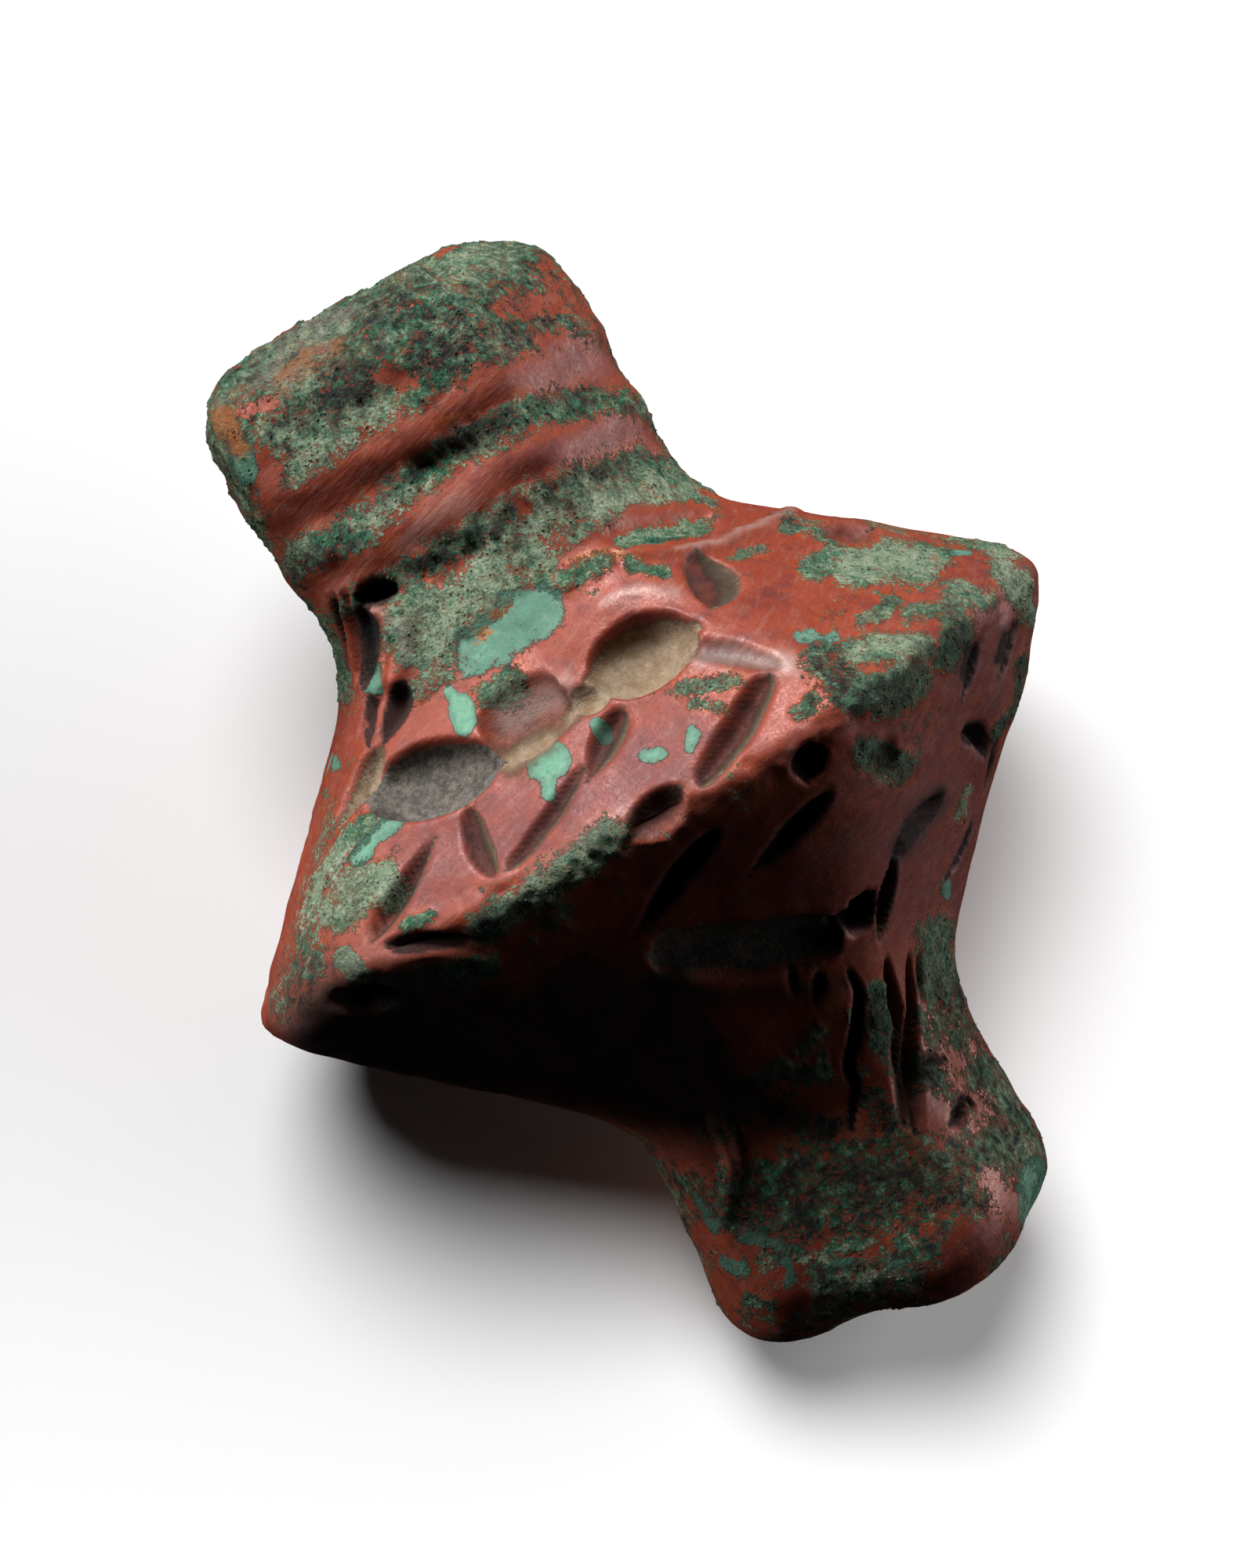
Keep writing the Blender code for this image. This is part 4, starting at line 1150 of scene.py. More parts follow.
@dataclass
class SealBody:
    """The seal itself: its fine skin, its carving, its crust and its colours.

    Attributes:
        skin: The smooth skin, with a crisp ridge.
        resting: How it lies.
        view: Where the photograph was taken from.
        rows: How its rows of points are shared out.
        columns: How many columns of faces run from foot to head.
        crowding: How much closer the columns stand on the photographed side.
        crowded_turn: Turn of the middle of that side.
        crowded_width: How far that side reaches, in degrees.
        wander: How far the edges of crust and wear go astray, in mm.
        edges: How the cuts' edges are worn.
        uneven: How uneven its skin is.
        corner_bluntness: Roundness of the ridge at its worn corners, in mm.
        worn_corners: The turn of each worn corner of the ridge, and how far it reaches.
        head_rings: The raised rings worn round the head.
        ring_waver: The noise by which those rings run uneven.
        ring_sway: How far they do, in mm.
    """

    skin: Skin
    resting: Resting
    view: Viewpoint
    rows: Rows = Rows()
    columns: int = 372
    crowding: float = 2.2
    crowded_turn: float = 8.0
    crowded_width: float = 62.0
    wander: float = 0.16
    edges: CutEdges = CutEdges()
    uneven: Unevenness = Unevenness()
    corner_bluntness: float = 2.0
    worn_corners: tuple[Point, ...] = ((-68.0, 20.0), (84.0, 12.0))
    head_rings: tuple[HeadRing, ...] = (
        HeadRing(17.7, 2.1, 0.30),
        HeadRing(14.45, 1.9, 0.30),
        HeadRing(21.7, 1.5, 0.12, bare=False),
    )
    ring_waver: Grain = Grain(5.0, 3, 71.7)
    ring_sway: float = 0.7

    def turns(self) -> Array:
        """Sets the columns round the seal, closer together on the photographed side.

        Returns:
            The turn of each column.
        """
        fine = np.linspace(-180.0, 180.0, 7201)
        offset = turn_from(fine, self.crowded_turn)
        density = 1.0 + self.crowding * np.exp(-(offset / self.crowded_width) ** 2)
        run = np.concatenate(([0.0], np.cumsum(0.5 * (density[1:] + density[:-1]))))
        marks = np.arange(self.columns) / self.columns * run[-1]
        return np.interp(marks, run, fine)

    def places(self) -> Array:
        """Sets the rows along the seal, close together on the rims and the ridge.

        Returns:
            The place of each row, from the foot's end to the head's.
        """
        skin = self.skin
        rows = self.rows
        foot_rim = np.linspace(0.5 * math.pi, 0.0, rows.foot_rim)
        head_rim = np.linspace(0.0, 0.5 * math.pi, rows.head_rim)
        foot_start = skin.foot_length - skin.foot_rounding
        head_start = skin.head_length - skin.head_rounding
        stretches = (
            (-foot_start, -skin.foot_waist, rows.foot),
            (-skin.foot_waist, rows.ridge_from, rows.foot_slope),
            (rows.ridge_from, rows.ridge_to, rows.ridge),
            (rows.ridge_to, skin.head_waist, rows.head_slope),
            (skin.head_waist, head_start, rows.head),
        )
        return np.concatenate((
            -foot_start - skin.foot_rounding * np.sin(foot_rim),
            *(np.linspace(start, end, count)[1:] for start, end, count in stretches),
            head_start + skin.head_rounding * np.sin(head_rim)[1:],
        ))

    def worn_rows(self) -> tuple[Array, Array]:
        """Lays out the rows between the two ends, with the ridge's corners worn round.

        Returns:
            The points and their outward directions, by row and column.
        """
        sharp = self.skin
        blunt = replace(sharp, ridge_bluntness=self.corner_bluntness)
        turn, along = np.meshgrid(self.turns(), self.places())
        worn = np.zeros(turn.shape + (1,))
        for corner, reach in self.worn_corners:
            worn[..., 0] += np.exp(-(turn_from(turn, corner) / reach) ** 2)
        points = sharp.points(turn, along) * (1.0 - worn) + blunt.points(turn, along) * worn
        out = sharp.normals(turn, along) * (1.0 - worn) + blunt.normals(turn, along) * worn
        return points, out / np.linalg.norm(out, axis=-1, keepdims=True)

    @staticmethod
    def _cap(edge: Array, direction: float, shares: Array) -> tuple[Array, Array]:
        """Lays out the rings on the flat of an end.

        Args:
            edge: The row of points round the flat.
            direction: 1 on the head, and -1 on the foot.
            shares: Each ring's size as a share of the edge's.

        Returns:
            The points and their outward directions, by ring and column.
        """
        rings = edge[None] * np.array((0.0, 1.0, 1.0)) * shares[:, None, None]
        rings[..., 0] = edge[0, 0]
        out = np.zeros_like(rings)
        out[..., 0] = direction
        return rings, out

    def lay_out(self) -> tuple[Surface, int]:
        """Lays out the points of the skin in rings, with a cap of rings on each end.

        Returns:
            The surface, with the foot's pole first and the head's last, and the number
            of rings between them.
        """
        rows, rows_out = self.worn_rows()
        foot_shares = np.linspace(0.0, 1.0, self.rows.foot_end + 2)[1:-1]
        head_shares = np.linspace(1.0, 0.0, self.rows.head_end + 2)[1:-1]
        foot, foot_out = self._cap(rows[0], -1.0, foot_shares)
        head, head_out = self._cap(rows[-1], 1.0, head_shares)
        rings = np.concatenate((foot, rows, head))
        outs = np.concatenate((foot_out, rows_out, head_out))
        poles = np.array(((rows[0, 0, 0], 0.0, 0.0), (rows[-1, 0, 0], 0.0, 0.0)))
        axis = np.array((1.0, 0.0, 0.0))
        base = np.concatenate((poles[:1], rings.reshape(-1, 3), poles[1:]))
        out = np.concatenate((-axis[None], outs.reshape(-1, 3), axis[None]))
        facing = self.view.facing(self.resting.placed(base), self.resting.turned(out))
        astray = np.stack([Grain(1.6, 3, seed).over(base) for seed in (5.1, 33.3, 81.9)], axis=1)
        wandered = base + self.wander * astray
        surface = Surface(
            base=base,
            out=out,
            wandered=wandered,
            pixels=self.view.project(self.resting.placed(wandered)),
            seen=smooth_step(facing, 0.0, 0.2),
        )
        return surface, len(rings)

    def path_points(self, path: tuple[Point, ...]) -> Array:
        """Follows a path over the smooth skin.

        Args:
            path: The (turn, reach) points that it passes.

        Returns:
            Points along it in the seal's own frame.
        """
        marks = np.linspace(0.0, 1.0, len(path))
        shares = np.linspace(0.0, 1.0, 17)
        turns = np.interp(shares, marks, [turn for turn, _ in path])
        reaches = np.interp(shares, marks, [reach for _, reach in path])
        return self.skin.points(turns, self.skin.along(reaches))

    def meet(self, stroke: Stroke, surface: Surface) -> Cut:
        """Works out which points a stroke cuts, and how deep.

        Args:
            stroke: The stroke.
            surface: The surface.

        Returns:
            The cut.
        """
        edges = self.edges
        tool = stroke.tool
        path = self.path_points(stroke.path)
        near = surface.near(path, stroke.width + edges.margin)
        points = ((1.0 - edges.waver) * surface.base[near]
                  + edges.waver * surface.wandered[near])
        distance, share, side = path_offset(points, surface.out[near], path)
        swell = np.maximum(np.sin(math.pi * share ** tool.skew), 0.0)
        plan = np.maximum(swell ** tool.fullness, edges.narrowest)
        half_width = 0.5 * plan * stroke.width
        bowl = np.zeros(len(near))
        blurs = np.linspace(-edges.softness, edges.softness, 5)
        for blur in blurs:
            across = np.clip((side * distance + blur) / half_width, -1.0, 1.0)
            slope = np.where(across > stroke.lean, 1.0 - stroke.lean, -1.0 - stroke.lean)
            fall = np.abs((across - stroke.lean) / slope) ** tool.roundness
            bowl += np.maximum(1.0 - fall, 0.0) ** (1.0 / tool.roundness)
        bowl = np.where(distance < half_width + edges.softness, bowl / len(blurs), 0.0)
        return Cut(near, distance, side, plan, half_width, bowl)

    @staticmethod
    def _soil(stroke: Stroke, cut: Cut, layers: dict[Mineral, Array]) -> None:
        """Lays earth, ash and black, which is dark dirt with painted shade, in a cut.

        The walls' earth lies on the gentler side of the deepest line. Where a cut is all black,
        the black also reaches a little over its edges, as painted shade.

        Args:
            stroke: The stroke that made it.
            cut: The cut.
            layers: The painted layers, three of which are added to.
        """
        dirt = stroke.fill.value
        deep = smooth_step(cut.bowl, 0.15, 0.7)
        to_gentle_side = cut.side * cut.distance * np.sign(0.01 - stroke.lean) / cut.half_width
        on_wall = smooth_step(to_gentle_side, -0.6, 0.6) * smooth_step(cut.bowl, 0.05, 0.3)
        about = 1.0 - smooth_step(cut.distance / cut.half_width, 0.9, 1.3)
        for mineral, strength in (
            (EARTH, deep * dirt.earth),
            (EARTH, on_wall * dirt.wall),
            (ASH, deep * dirt.ash),
            (SOOT_AND_SHADE, smooth_step(cut.bowl, 0.05, 0.6) * dirt.soot_and_shade),
            (SOOT_AND_SHADE, about * (dirt.soot_and_shade == 1.0)),
        ):
            layers[mineral][cut.near] = np.maximum(layers[mineral][cut.near], strength)

    def carve(self, surface: Surface) -> tuple[Array, Array]:
        """Works out the depth of the carving at every point, and dirties it.

        Args:
            surface: The surface, whose earth, ash and black layers are painted, the black with
                painted shade.

        Returns:
            The depths in mm, and the height of the lips that the tools raised.
        """
        edges = self.edges
        depth = np.zeros(len(surface.base))
        lip = np.zeros(len(surface.base))
        for stroke in STROKES:
            cut = self.meet(stroke, surface)
            near = cut.near
            depth[near] = np.maximum(depth[near], cut.plan * stroke.depth * cut.bowl)
            lip_width = edges.lip_width + edges.lip_growth * stroke.width
            beyond = (cut.distance - cut.half_width) / lip_width
            rise = np.exp(-(beyond - 0.8) ** 2) * (beyond > -0.6)
            lip[near] = np.maximum(lip[near], rise * edges.lip_height * stroke.depth)
            self._soil(stroke, cut, surface.layers)
        return depth, lip

    def natural_crust(self, surface: Surface) -> Array:
        """Where crust grows when nothing else decides it, as a signed number.

        Args:
            surface: The surface.

        Returns:
            Over 0 under crust. The head is mostly crusted between its worn rings, the
            slopes are mostly bare, and the foot is mottled.
        """
        along = surface.base[:, 0]
        patches = Grain(3.6, 3, 11.3).over(surface.base)
        mottle = Grain(1.1, 4, 47.1).over(surface.base)
        waver = self.ring_waver.over(surface.base)
        on_head = smooth_step(along, 8.2, 10.2)
        on_foot = smooth_step(-along, 10.5, 13.5)
        level = -0.78 + 1.16 * on_head + 0.80 * on_foot
        patchiness = 0.75 + 0.25 * on_head - 0.35 * on_foot
        crust = level + patchiness * patches + 0.55 * mottle
        for ring in self.head_rings:
            if ring.bare:
                sway = self.ring_sway * waver
                offset = np.abs(along + sway - ring.along) / (0.5 * ring.width)
                beyond = 2.0 * (offset - 0.95)
                crust = np.minimum(crust, beyond + 0.5 * mottle + 2.0 * surface.seen)
        return np.clip(crust, -1.0, 1.0)

    def paint(self, surface: Surface) -> None:
        """Paints every mineral's layer: its own rule first, then the stains.

        Args:
            surface: The surface, whose layers are filled.
        """
        base = surface.base
        along = base[:, 0]
        tone = Grain(2.6, 4, 23.9).over(base)
        second_tone = Grain(2.1, 4, 91.3).over(base)
        third_tone = Grain(4.5, 3, 57.9).over(base)
        spots = Grain(1.7, 2, 5.5).over(base)
        layers = surface.layers
        for mineral in Mineral:
            layers[mineral] = np.full(len(base), -1.0) if mineral.crisp else np.zeros(len(base))
        layers[CRUST] = self.natural_crust(surface)
        layers[PALE] = smooth_step(tone, 0.1, 0.6) * 0.5
        layers[DARK] = smooth_step(second_tone, 0.05, 0.6) * 0.6
        layers[VIVID] = smooth_step(third_tone, 0.0, 0.5) * 0.6
        layers[MOTTLE] = (0.25 + 0.75 * smooth_step(-along, 11.0, 14.0)
                          + 0.30 * smooth_step(along, 9.0, 12.0))
        hidden_spots = np.clip((spots - 0.52) * 3.0, -1.0, 1.0)
        layers[TURQUOISE] = np.where(surface.seen < 0.5, hidden_spots, -1.0)
        for stain in STAINS:
            layers[stain.mineral] = stain.paint(
                layers[stain.mineral], surface.pixels, surface.seen)

    def relief(self, surface: Surface, cut: Array) -> Array:
        """The height of the uneven surface over the smooth skin, in mm.

        Args:
            surface: The surface, painted.
            cut: The depth of the carving at each point.

        Returns:
            One height for each point, without the carving.
        """
        uneven = self.uneven
        base = surface.base
        along = base[:, 0]
        lumps = Grain(6.0, 3, 3.1).over(base)
        dents = Grain(1.8, 3, 63.7).over(base)
        granules = Grain(0.8, 4, 37.9).over(base)
        crumbs = Grain(0.42, 3, 17.7).over(base)
        waver = self.ring_waver.over(base)
        chips = Grain(1.5, 4, 29.3).over(base)
        height = uneven.lumps * lumps + uneven.dents * dents
        for swell in SWELLS:
            path = self.path_points(swell.path)
            near = surface.near(path, 1.6 * swell.width)
            distance, _ = path_distance(surface.wandered[near], path)
            profile = np.exp(-(distance / (0.5 * swell.width)) ** swell.firmness)
            height[near] += swell.height * profile
        uncut = 1.0 - smooth_step(cut, 0.05, 0.35)
        crusted = smooth_step(surface.layers[CRUST], -0.2, 0.3) * uncut
        on_head = smooth_step(along, 9.5, 12.0) * (1.0 - smooth_step(along, 21.5, 23.4))
        on_foot = smooth_step(-along, 11.0, 15.0)
        grainy = crusted * (1.0 - 0.6 * on_foot)
        height += grainy * (uneven.crust + uneven.granules * granules + uneven.crumbs * crumbs
                            + uneven.head_dents * on_head * dents)
        for ring in self.head_rings:
            offset = (along + self.ring_sway * waver - ring.along) / (0.5 * ring.width)
            height += ring.height * np.exp(-offset ** 2)
        height -= uneven.head_loss * on_head
        rim = smooth_step(along, 20.2, 23.3)
        height -= rim * (uneven.rim_loss + uneven.rim_chips * np.maximum(chips, -0.15))
        crest = np.exp(-(along / uneven.crest_width) ** 2) * uncut
        height += crest * (uneven.crest_dents * dents
                           - uneven.crest_chips * np.maximum(chips - 0.12, 0.0))
        return height

    def faces(self, ring_count: int) -> list[list[int]]:
        """Joins the rings with quads, and closes each end with a fan round its pole.

        Args:
            ring_count: How many rings there are.

        Returns:
            The faces as lists of point numbers, which turn outwards.
        """
        columns = self.columns
        ring = np.arange(columns)
        after = np.roll(ring, -1)
        starts = 1 + columns * np.arange(ring_count - 1)[:, None]
        quads = np.stack((starts + ring, starts + columns + ring,
                          starts + columns + after, starts + after), axis=-1)
        last = 1 + columns * (ring_count - 1)
        head_pole = last + columns
        foot_fan = np.stack((np.zeros_like(ring), 1 + ring, 1 + after), axis=-1)
        head_fan = np.stack((np.full_like(ring, head_pole), last + after, last + ring), axis=-1)
        return quads.reshape(-1, 4).tolist() + foot_fan.tolist() + head_fan.tolist()

    def build_mesh(self) -> bpy.types.Object:
        """Builds the seal's mesh with its painted layers as point attributes.

        Returns:
            The object at the origin, with its place in its mesh.
        """
        surface, ring_count = self.lay_out()
        self.paint(surface)
        cut, lip = self.carve(surface)
        height = self.relief(surface, cut) + lip - cut
        points = self.resting.placed(surface.base + surface.out * height[:, None])
        points[:, 2] = np.maximum(points[:, 2], 0.0)

        mesh = bpy.data.meshes.new("seal_body")
        mesh.from_pydata((points * MM).tolist(), [], self.faces(ring_count))
        mesh.shade_smooth()
        for mineral, layer in surface.layers.items():
            attribute = mesh.attributes.new(mineral.value, "FLOAT", "POINT")
            attribute.data.foreach_set("value", layer.astype(np.float32))
        return put_in_scene("seal_body", mesh)


class Wire:
    """A socket of a node tree, with arithmetic that adds the nodes it needs."""

    def __init__(self, sheet: "NodeSheet", socket: bpy.types.NodeSocket) -> None:
        """Keeps the socket and the sheet that it is drawn on."""
        self.sheet = sheet
        self.socket = socket

    def _math(self, operation: str, *values: Any) -> "Wire":
        """A Math node over some values."""
        inputs = dict(enumerate(values))
        return self.sheet.node("ShaderNodeMath", {"operation": operation}, inputs)

    def __add__(self, other: Any) -> "Wire":
        """This number plus another."""
        return self._math("ADD", self, other)

    __radd__ = __add__

    def __sub__(self, other: Any) -> "Wire":
        """This number less another."""
        return self._math("SUBTRACT", self, other)

    def __rsub__(self, other: Any) -> "Wire":
        """Another number less this one."""
        return self._math("SUBTRACT", other, self)

    def __mul__(self, other: Any) -> "Wire":
        """This number times another."""
        return self._math("MULTIPLY", self, other)

    __rmul__ = __mul__

    def clamped(self) -> "Wire":
        """This number kept from 0 to 1."""
        return self.sheet.node("ShaderNodeClamp", {}, {"Value": self})

    def step(self, low: float, high: float) -> "Wire":
        """A soft step from 0 to 1 over this number.

        Args:
            low: Where the step starts.
            high: Where it ends.

        Returns:
            The step.
        """
        settings = {"interpolation_type": "SMOOTHSTEP"}
        inputs = {"Value": self, "From Min": low, "From Max": high}
        return self.sheet.node("ShaderNodeMapRange", settings, inputs)


class NodeSheet:
    """A node tree, written as expressions."""

    def __init__(self, tree: bpy.types.NodeTree) -> None:
        """Keeps the tree."""
        self.tree = tree

    def node(self, kind: str, settings: dict[str, Any], inputs: dict[Any, Any],
             output: Any = 0) -> Wire:
        """Adds a node.

        Args:
            kind: The node's type.
            settings: Its properties, which are set first.
            inputs: Values or wires for its sockets, by name, identifier or index.
            output: The name or index of the socket to go on from.

        Returns:
            That output.
        """
        made = self.tree.nodes.new(kind)
        for key, value in settings.items():
            setattr(made, key, value)
        for key, value in inputs.items():
            socket = made.inputs[key] if isinstance(key, int) else self._find(made, key)
            if isinstance(value, Wire):
                self.tree.links.new(value.socket, socket)
            else:
                socket.default_value = value
        if output == 0:
            shown = [socket for socket in made.outputs if socket.enabled]
            return Wire(self, shown[0])
        return Wire(self, made.outputs[output])

    @staticmethod
    def _find(made: bpy.types.Node, key: str) -> bpy.types.NodeSocket:
        """Finds a node's input among those in use.

        Args:
            made: The node.
            key: The input's identifier, or else its name.

        Returns:
            The input's socket.

        Raises:
            KeyError: If no input in use is called that.
        """
        for socket in made.inputs:
            if socket.identifier == key and socket.enabled:
                return socket
        for socket in made.inputs:
            if socket.name == key and socket.enabled:
                return socket
        raise KeyError(key)


class MaterialSheet(NodeSheet):
    """A material's node tree."""

    def __init__(self, name: str) -> None:
        """Starts an empty material."""
        self.material = bpy.data.materials.new(name)
        self.material.use_nodes = True
        super().__init__(self.material.node_tree)
        self.tree.nodes.clear()

    def layer(self, mineral: Mineral) -> Wire:
        """A mineral's layer, as it is painted on the mesh's points."""
        return self.node("ShaderNodeAttribute", {"attribute_name": mineral.value}, {}, "Fac")

    def noise(self, vector: Wire, scale: float, detail: float, roughness: float = 0.6,
              distortion: float = 0.0) -> Wire:
        """Fractal noise about zero.

        Args:
            vector: The coordinates.
            scale: How many of the largest lumps fit in one unit of them.
            detail: How many times the lumps carry smaller ones.
            roughness: How strong those are.
            distortion: How far the lumps are drawn out of shape.

        Returns:
            The noise, about -0.5 to 0.5.
        """
        inputs = {"Vector": vector, "Scale": scale, "Detail": detail,
                  "Roughness": roughness, "Distortion": distortion}
        return self.node("ShaderNodeTexNoise", {}, inputs) - 0.5

    def moved(self, vector: Wire, distance: float) -> Wire:
        """A vector moved, so that a noise over it is another one."""
        inputs = {0: vector, 1: (distance, distance, distance)}
        return self.node("ShaderNodeVectorMath", {"operation": "ADD"}, inputs)

    def mix(self, share: Any, first: Any, second: Any) -> Wire:
        """A colour between two, by a share from 0 to 1."""
        inputs = {"Factor_Float": share, "A_Color": first, "B_Color": second}
        return self.node("ShaderNodeMix", {"data_type": "RGBA"}, inputs)

    def finished(self, shader: Wire) -> bpy.types.Material:
        """Joins a shader to the material's output.

        Args:
            shader: The shader.

        Returns:
            The material.
        """
        output = self.tree.nodes.new("ShaderNodeOutputMaterial")
        self.tree.links.new(shader.socket, output.inputs["Surface"])
        return self.material


Colour = tuple[float, float, float, float]


def srgb(red: int, green: int, blue: int) -> Colour:
    """Turns a colour's screen values into light, by the standard curve of screens.

    Args:
        red: From 0 to 255.
        green: From 0 to 255.
        blue: From 0 to 255.

    Returns:
        The colour as the shaders take it, with its opacity last.
    """
    shares = (value / 255.0 for value in (red, green, blue))
    linear = [s / 12.92 if s <= 0.04045 else ((s + 0.055) / 1.055) ** 2.4 for s in shares]
    return (*linear, 1.0)


@dataclass(frozen=True)
class Grains:
    """The noises that the finish is mixed from, each about zero, from 3 mm to 0.1 mm.

    The threads run askew round the seal, as it was rubbed.
    """

    broad: Wire
    patches: Wire
    islands: Wire
    blots: Wire
    edges: Wire
    threads: Wire
    grit: Wire
    specks: Wire

    @classmethod
    def over(cls, sheet: MaterialSheet, own: Wire) -> "Grains":
        """Lays the noises over the seal's own coordinates.

        Args:
            sheet: The material to draw on.
            own: The coordinates in mm, with X along the seal.

        Returns:
            The noises.
        """
        fibres = sheet.node("ShaderNodeMapping", {"vector_type": "TEXTURE"}, {
            "Vector": own, "Rotation": (0.0, 0.0, math.radians(20.0)),
            "Scale": (0.30, 1.8, 1.8)})
        return cls(
            broad=sheet.noise(own, 0.30, 3.0, 0.5),
            patches=sheet.noise(own, 0.8, 5.0, 0.55),
            islands=sheet.noise(sheet.moved(own, 40.0), 1.1, 5.0, 0.6, 0.6),
            blots=sheet.noise(sheet.moved(own, 90.0), 1.9, 6.0, 0.62),
            edges=sheet.noise(own, 1.6, 7.0, 0.62, 0.3),
            threads=sheet.noise(fibres, 1.5, 6.0, 0.68, 0.4),
            grit=sheet.noise(sheet.moved(own, 20.0), 4.4, 6.0, 0.72),
            specks=sheet.noise(own, 7.5, 4.0, 0.65),
        )


@dataclass(frozen=True)
class CorrodedCopper:
    """The finish of the whole seal: red cuprite, green crust, what fills the cuts, and painted
    shade and painted highlights.

    A patch's edge is where its painted number and a few noises together pass 0. All the
    fields but the first two are colours.

    Attributes:
        rise: Angle of the seal's axis over the floor in radians, which the patterns follow.
        place: Where the seal's own frame lies, in mm.
    """

    rise: float
    place: Triple
    brick: Colour = srgb(140, 58, 38)
    salmon: Colour = srgb(148, 68, 52)
    deep_red: Colour = srgb(108, 42, 32)
    mauve: Colour = srgb(110, 55, 54)
    umber: Colour = srgb(70, 32, 24)
    blush: Colour = srgb(184, 112, 90)
    fringe: Colour = srgb(160, 70, 34)
    rust: Colour = srgb(140, 58, 32)
    ochre: Colour = srgb(166, 96, 36)
    malachite: Colour = srgb(74, 124, 94)
    emerald: Colour = srgb(30, 116, 82)
    grey_green: Colour = srgb(106, 122, 96)
    pale_green: Colour = srgb(158, 178, 144)
    cream: Colour = srgb(198, 206, 182)
    teal: Colour = srgb(34, 58, 44)
    olive: Colour = srgb(86, 78, 52)
    black: Colour = srgb(10, 16, 13)
    mint: Colour = srgb(100, 152, 124)
    turquoise: Colour = srgb(82, 126, 106)
    earth: Colour = srgb(138, 112, 84)
    dry_earth: Colour = srgb(160, 141, 118)
    wet_earth_and_shade: Colour = srgb(86, 66, 48)
    ash: Colour = srgb(114, 106, 98)
    dark_ash: Colour = srgb(62, 58, 53)
    soot_and_shade: Colour = srgb(20, 12, 10)
    scuff_and_highlight: Colour = srgb(176, 158, 150)

    def own_frame(self, sheet: MaterialSheet) -> Wire:
        """The seal's own coordinates in mm, with X along its axis.

        Args:
            sheet: The material to draw on.

        Returns:
            The coordinates as a vector.
        """
        raw = sheet.node("ShaderNodeTexCoord", {}, {}, "Object")
        cosine = math.cos(self.rise)
        sine = math.sin(self.rise)
        x, y, z = self.place
        shift = (-(x * cosine + z * sine), -y, -(z * cosine - x * sine))
        return sheet.node("ShaderNodeMapping", {}, {
            "Vector": raw,
            "Location": shift,
            "Rotation": (0.0, self.rise, 0.0),
            "Scale": (1.0 / MM,) * 3,
        })

    def red_metal(self, sheet: MaterialSheet, crust_value: Wire, grains: Grains) -> Wire:
        """The colour of bare, reddened metal.

        Args:
            sheet: The material to draw on.
            crust_value: The crust's signed number, whose edge has an orange fringe.
            grains: The noises of the finish.

        Returns:
            The colour.
        """
        colour = sheet.mix((4.0 * grains.broad + 1.5 * grains.specks + 0.4).clamped(), self.brick,
                           self.salmon)
        colour = sheet.mix(grains.patches.step(0.0, 0.2) * 0.75, colour, self.deep_red)
        colour = sheet.mix((grains.islands - 0.5 * grains.specks).step(0.03, 0.2) * 0.7, colour,
                           self.rust)
        mauve = sheet.layer(PURPLE) + 2.0 * grains.patches
        colour = sheet.mix(mauve.clamped() * 0.85, colour, self.mauve)
        near_crust = crust_value.step(-1.0, -0.05) * (grains.blots + 0.5).step(0.42, 0.58)
        colour = sheet.mix(near_crust * 0.8, colour, self.fringe)
        colour = sheet.mix((grains.specks + 0.6 * grains.grit).step(0.0, 0.26) * 0.55, colour,
                           self.umber)
        colour = sheet.mix(grains.grit.step(0.10, 0.24) * 0.3, colour, self.fringe)
        streaks = (3.0 * grains.threads + 0.25).clamped() * sheet.layer(WORN)
        return sheet.mix(streaks * 0.4, colour, self.blush)

    def green_crust(self, sheet: MaterialSheet, crust_value: Wire, grains: Grains) -> Wire:
        """The colour of the crust: one scale from black through green to pale.

        Args:
            sheet: The material to draw on.
            crust_value: The crust's signed number, whose edge gets a painted shade line where it
                is mottled.
            grains: The noises of the finish.

        Returns:
            The colour.
        """
        mottle = sheet.layer(MOTTLE)
        middle = sheet.mix((6.0 * grains.patches + 0.5).clamped(), self.grey_green,
                           self.malachite)
        vivid = 0.7 * sheet.layer(VIVID) + 2.6 * grains.islands + 0.8 * grains.specks
        middle = sheet.mix(vivid.step(0.22, 0.50), middle, self.emerald)
        contrast = 1.6 + 4.2 * mottle
        tone = contrast * grains.blots + 1.9 * grains.grit + 2.6 * grains.specks
        tone = tone + 0.75 * sheet.layer(PALE) - 0.6 * sheet.layer(DARK)
        tone = tone + 0.24 - 0.40 * mottle
        # The crust's edge is darkened where it is mottled: a painted shade line along the raised
        # crust's edge.
        rim = 1.0 - crust_value.step(0.0, 0.35)
        tone = tone - 0.35 * rim * mottle
        colour = sheet.mix(tone.step(-1.0, -0.35), self.black, self.teal)
        colour = sheet.mix(tone.step(-0.60, 0.15), colour, middle)
        colour = sheet.mix(tone.step(0.05, 0.9) * 0.9, colour, self.pale_green)
        colour = sheet.mix(tone.step(0.85, 1.6) * 0.8, colour, self.cream)
        colour = sheet.mix(rim * 0.35, colour, self.olive)
        brown = 2.6 * grains.broad - 2.6 * grains.grit
        colour = sheet.mix(brown.step(0.0, 0.6) * 0.5, colour, self.olive)
        rust = 2.2 * grains.islands - 2.6 * grains.specks + 0.5 * rim + 0.22 * mottle
        return sheet.mix(rust.step(0.32, 0.60) * 0.75, colour, self.fringe)

    def make(self) -> bpy.types.Material:
        """Builds the material.

        Returns:
            The material: metal and crust, the blue-green film and the orange spots over
            them, and what lies in the cuts on top, with painted shade and painted highlights.
        """
        sheet = MaterialSheet("corroded_copper")
        own = self.own_frame(sheet)
        grains = Grains.over(sheet, own)

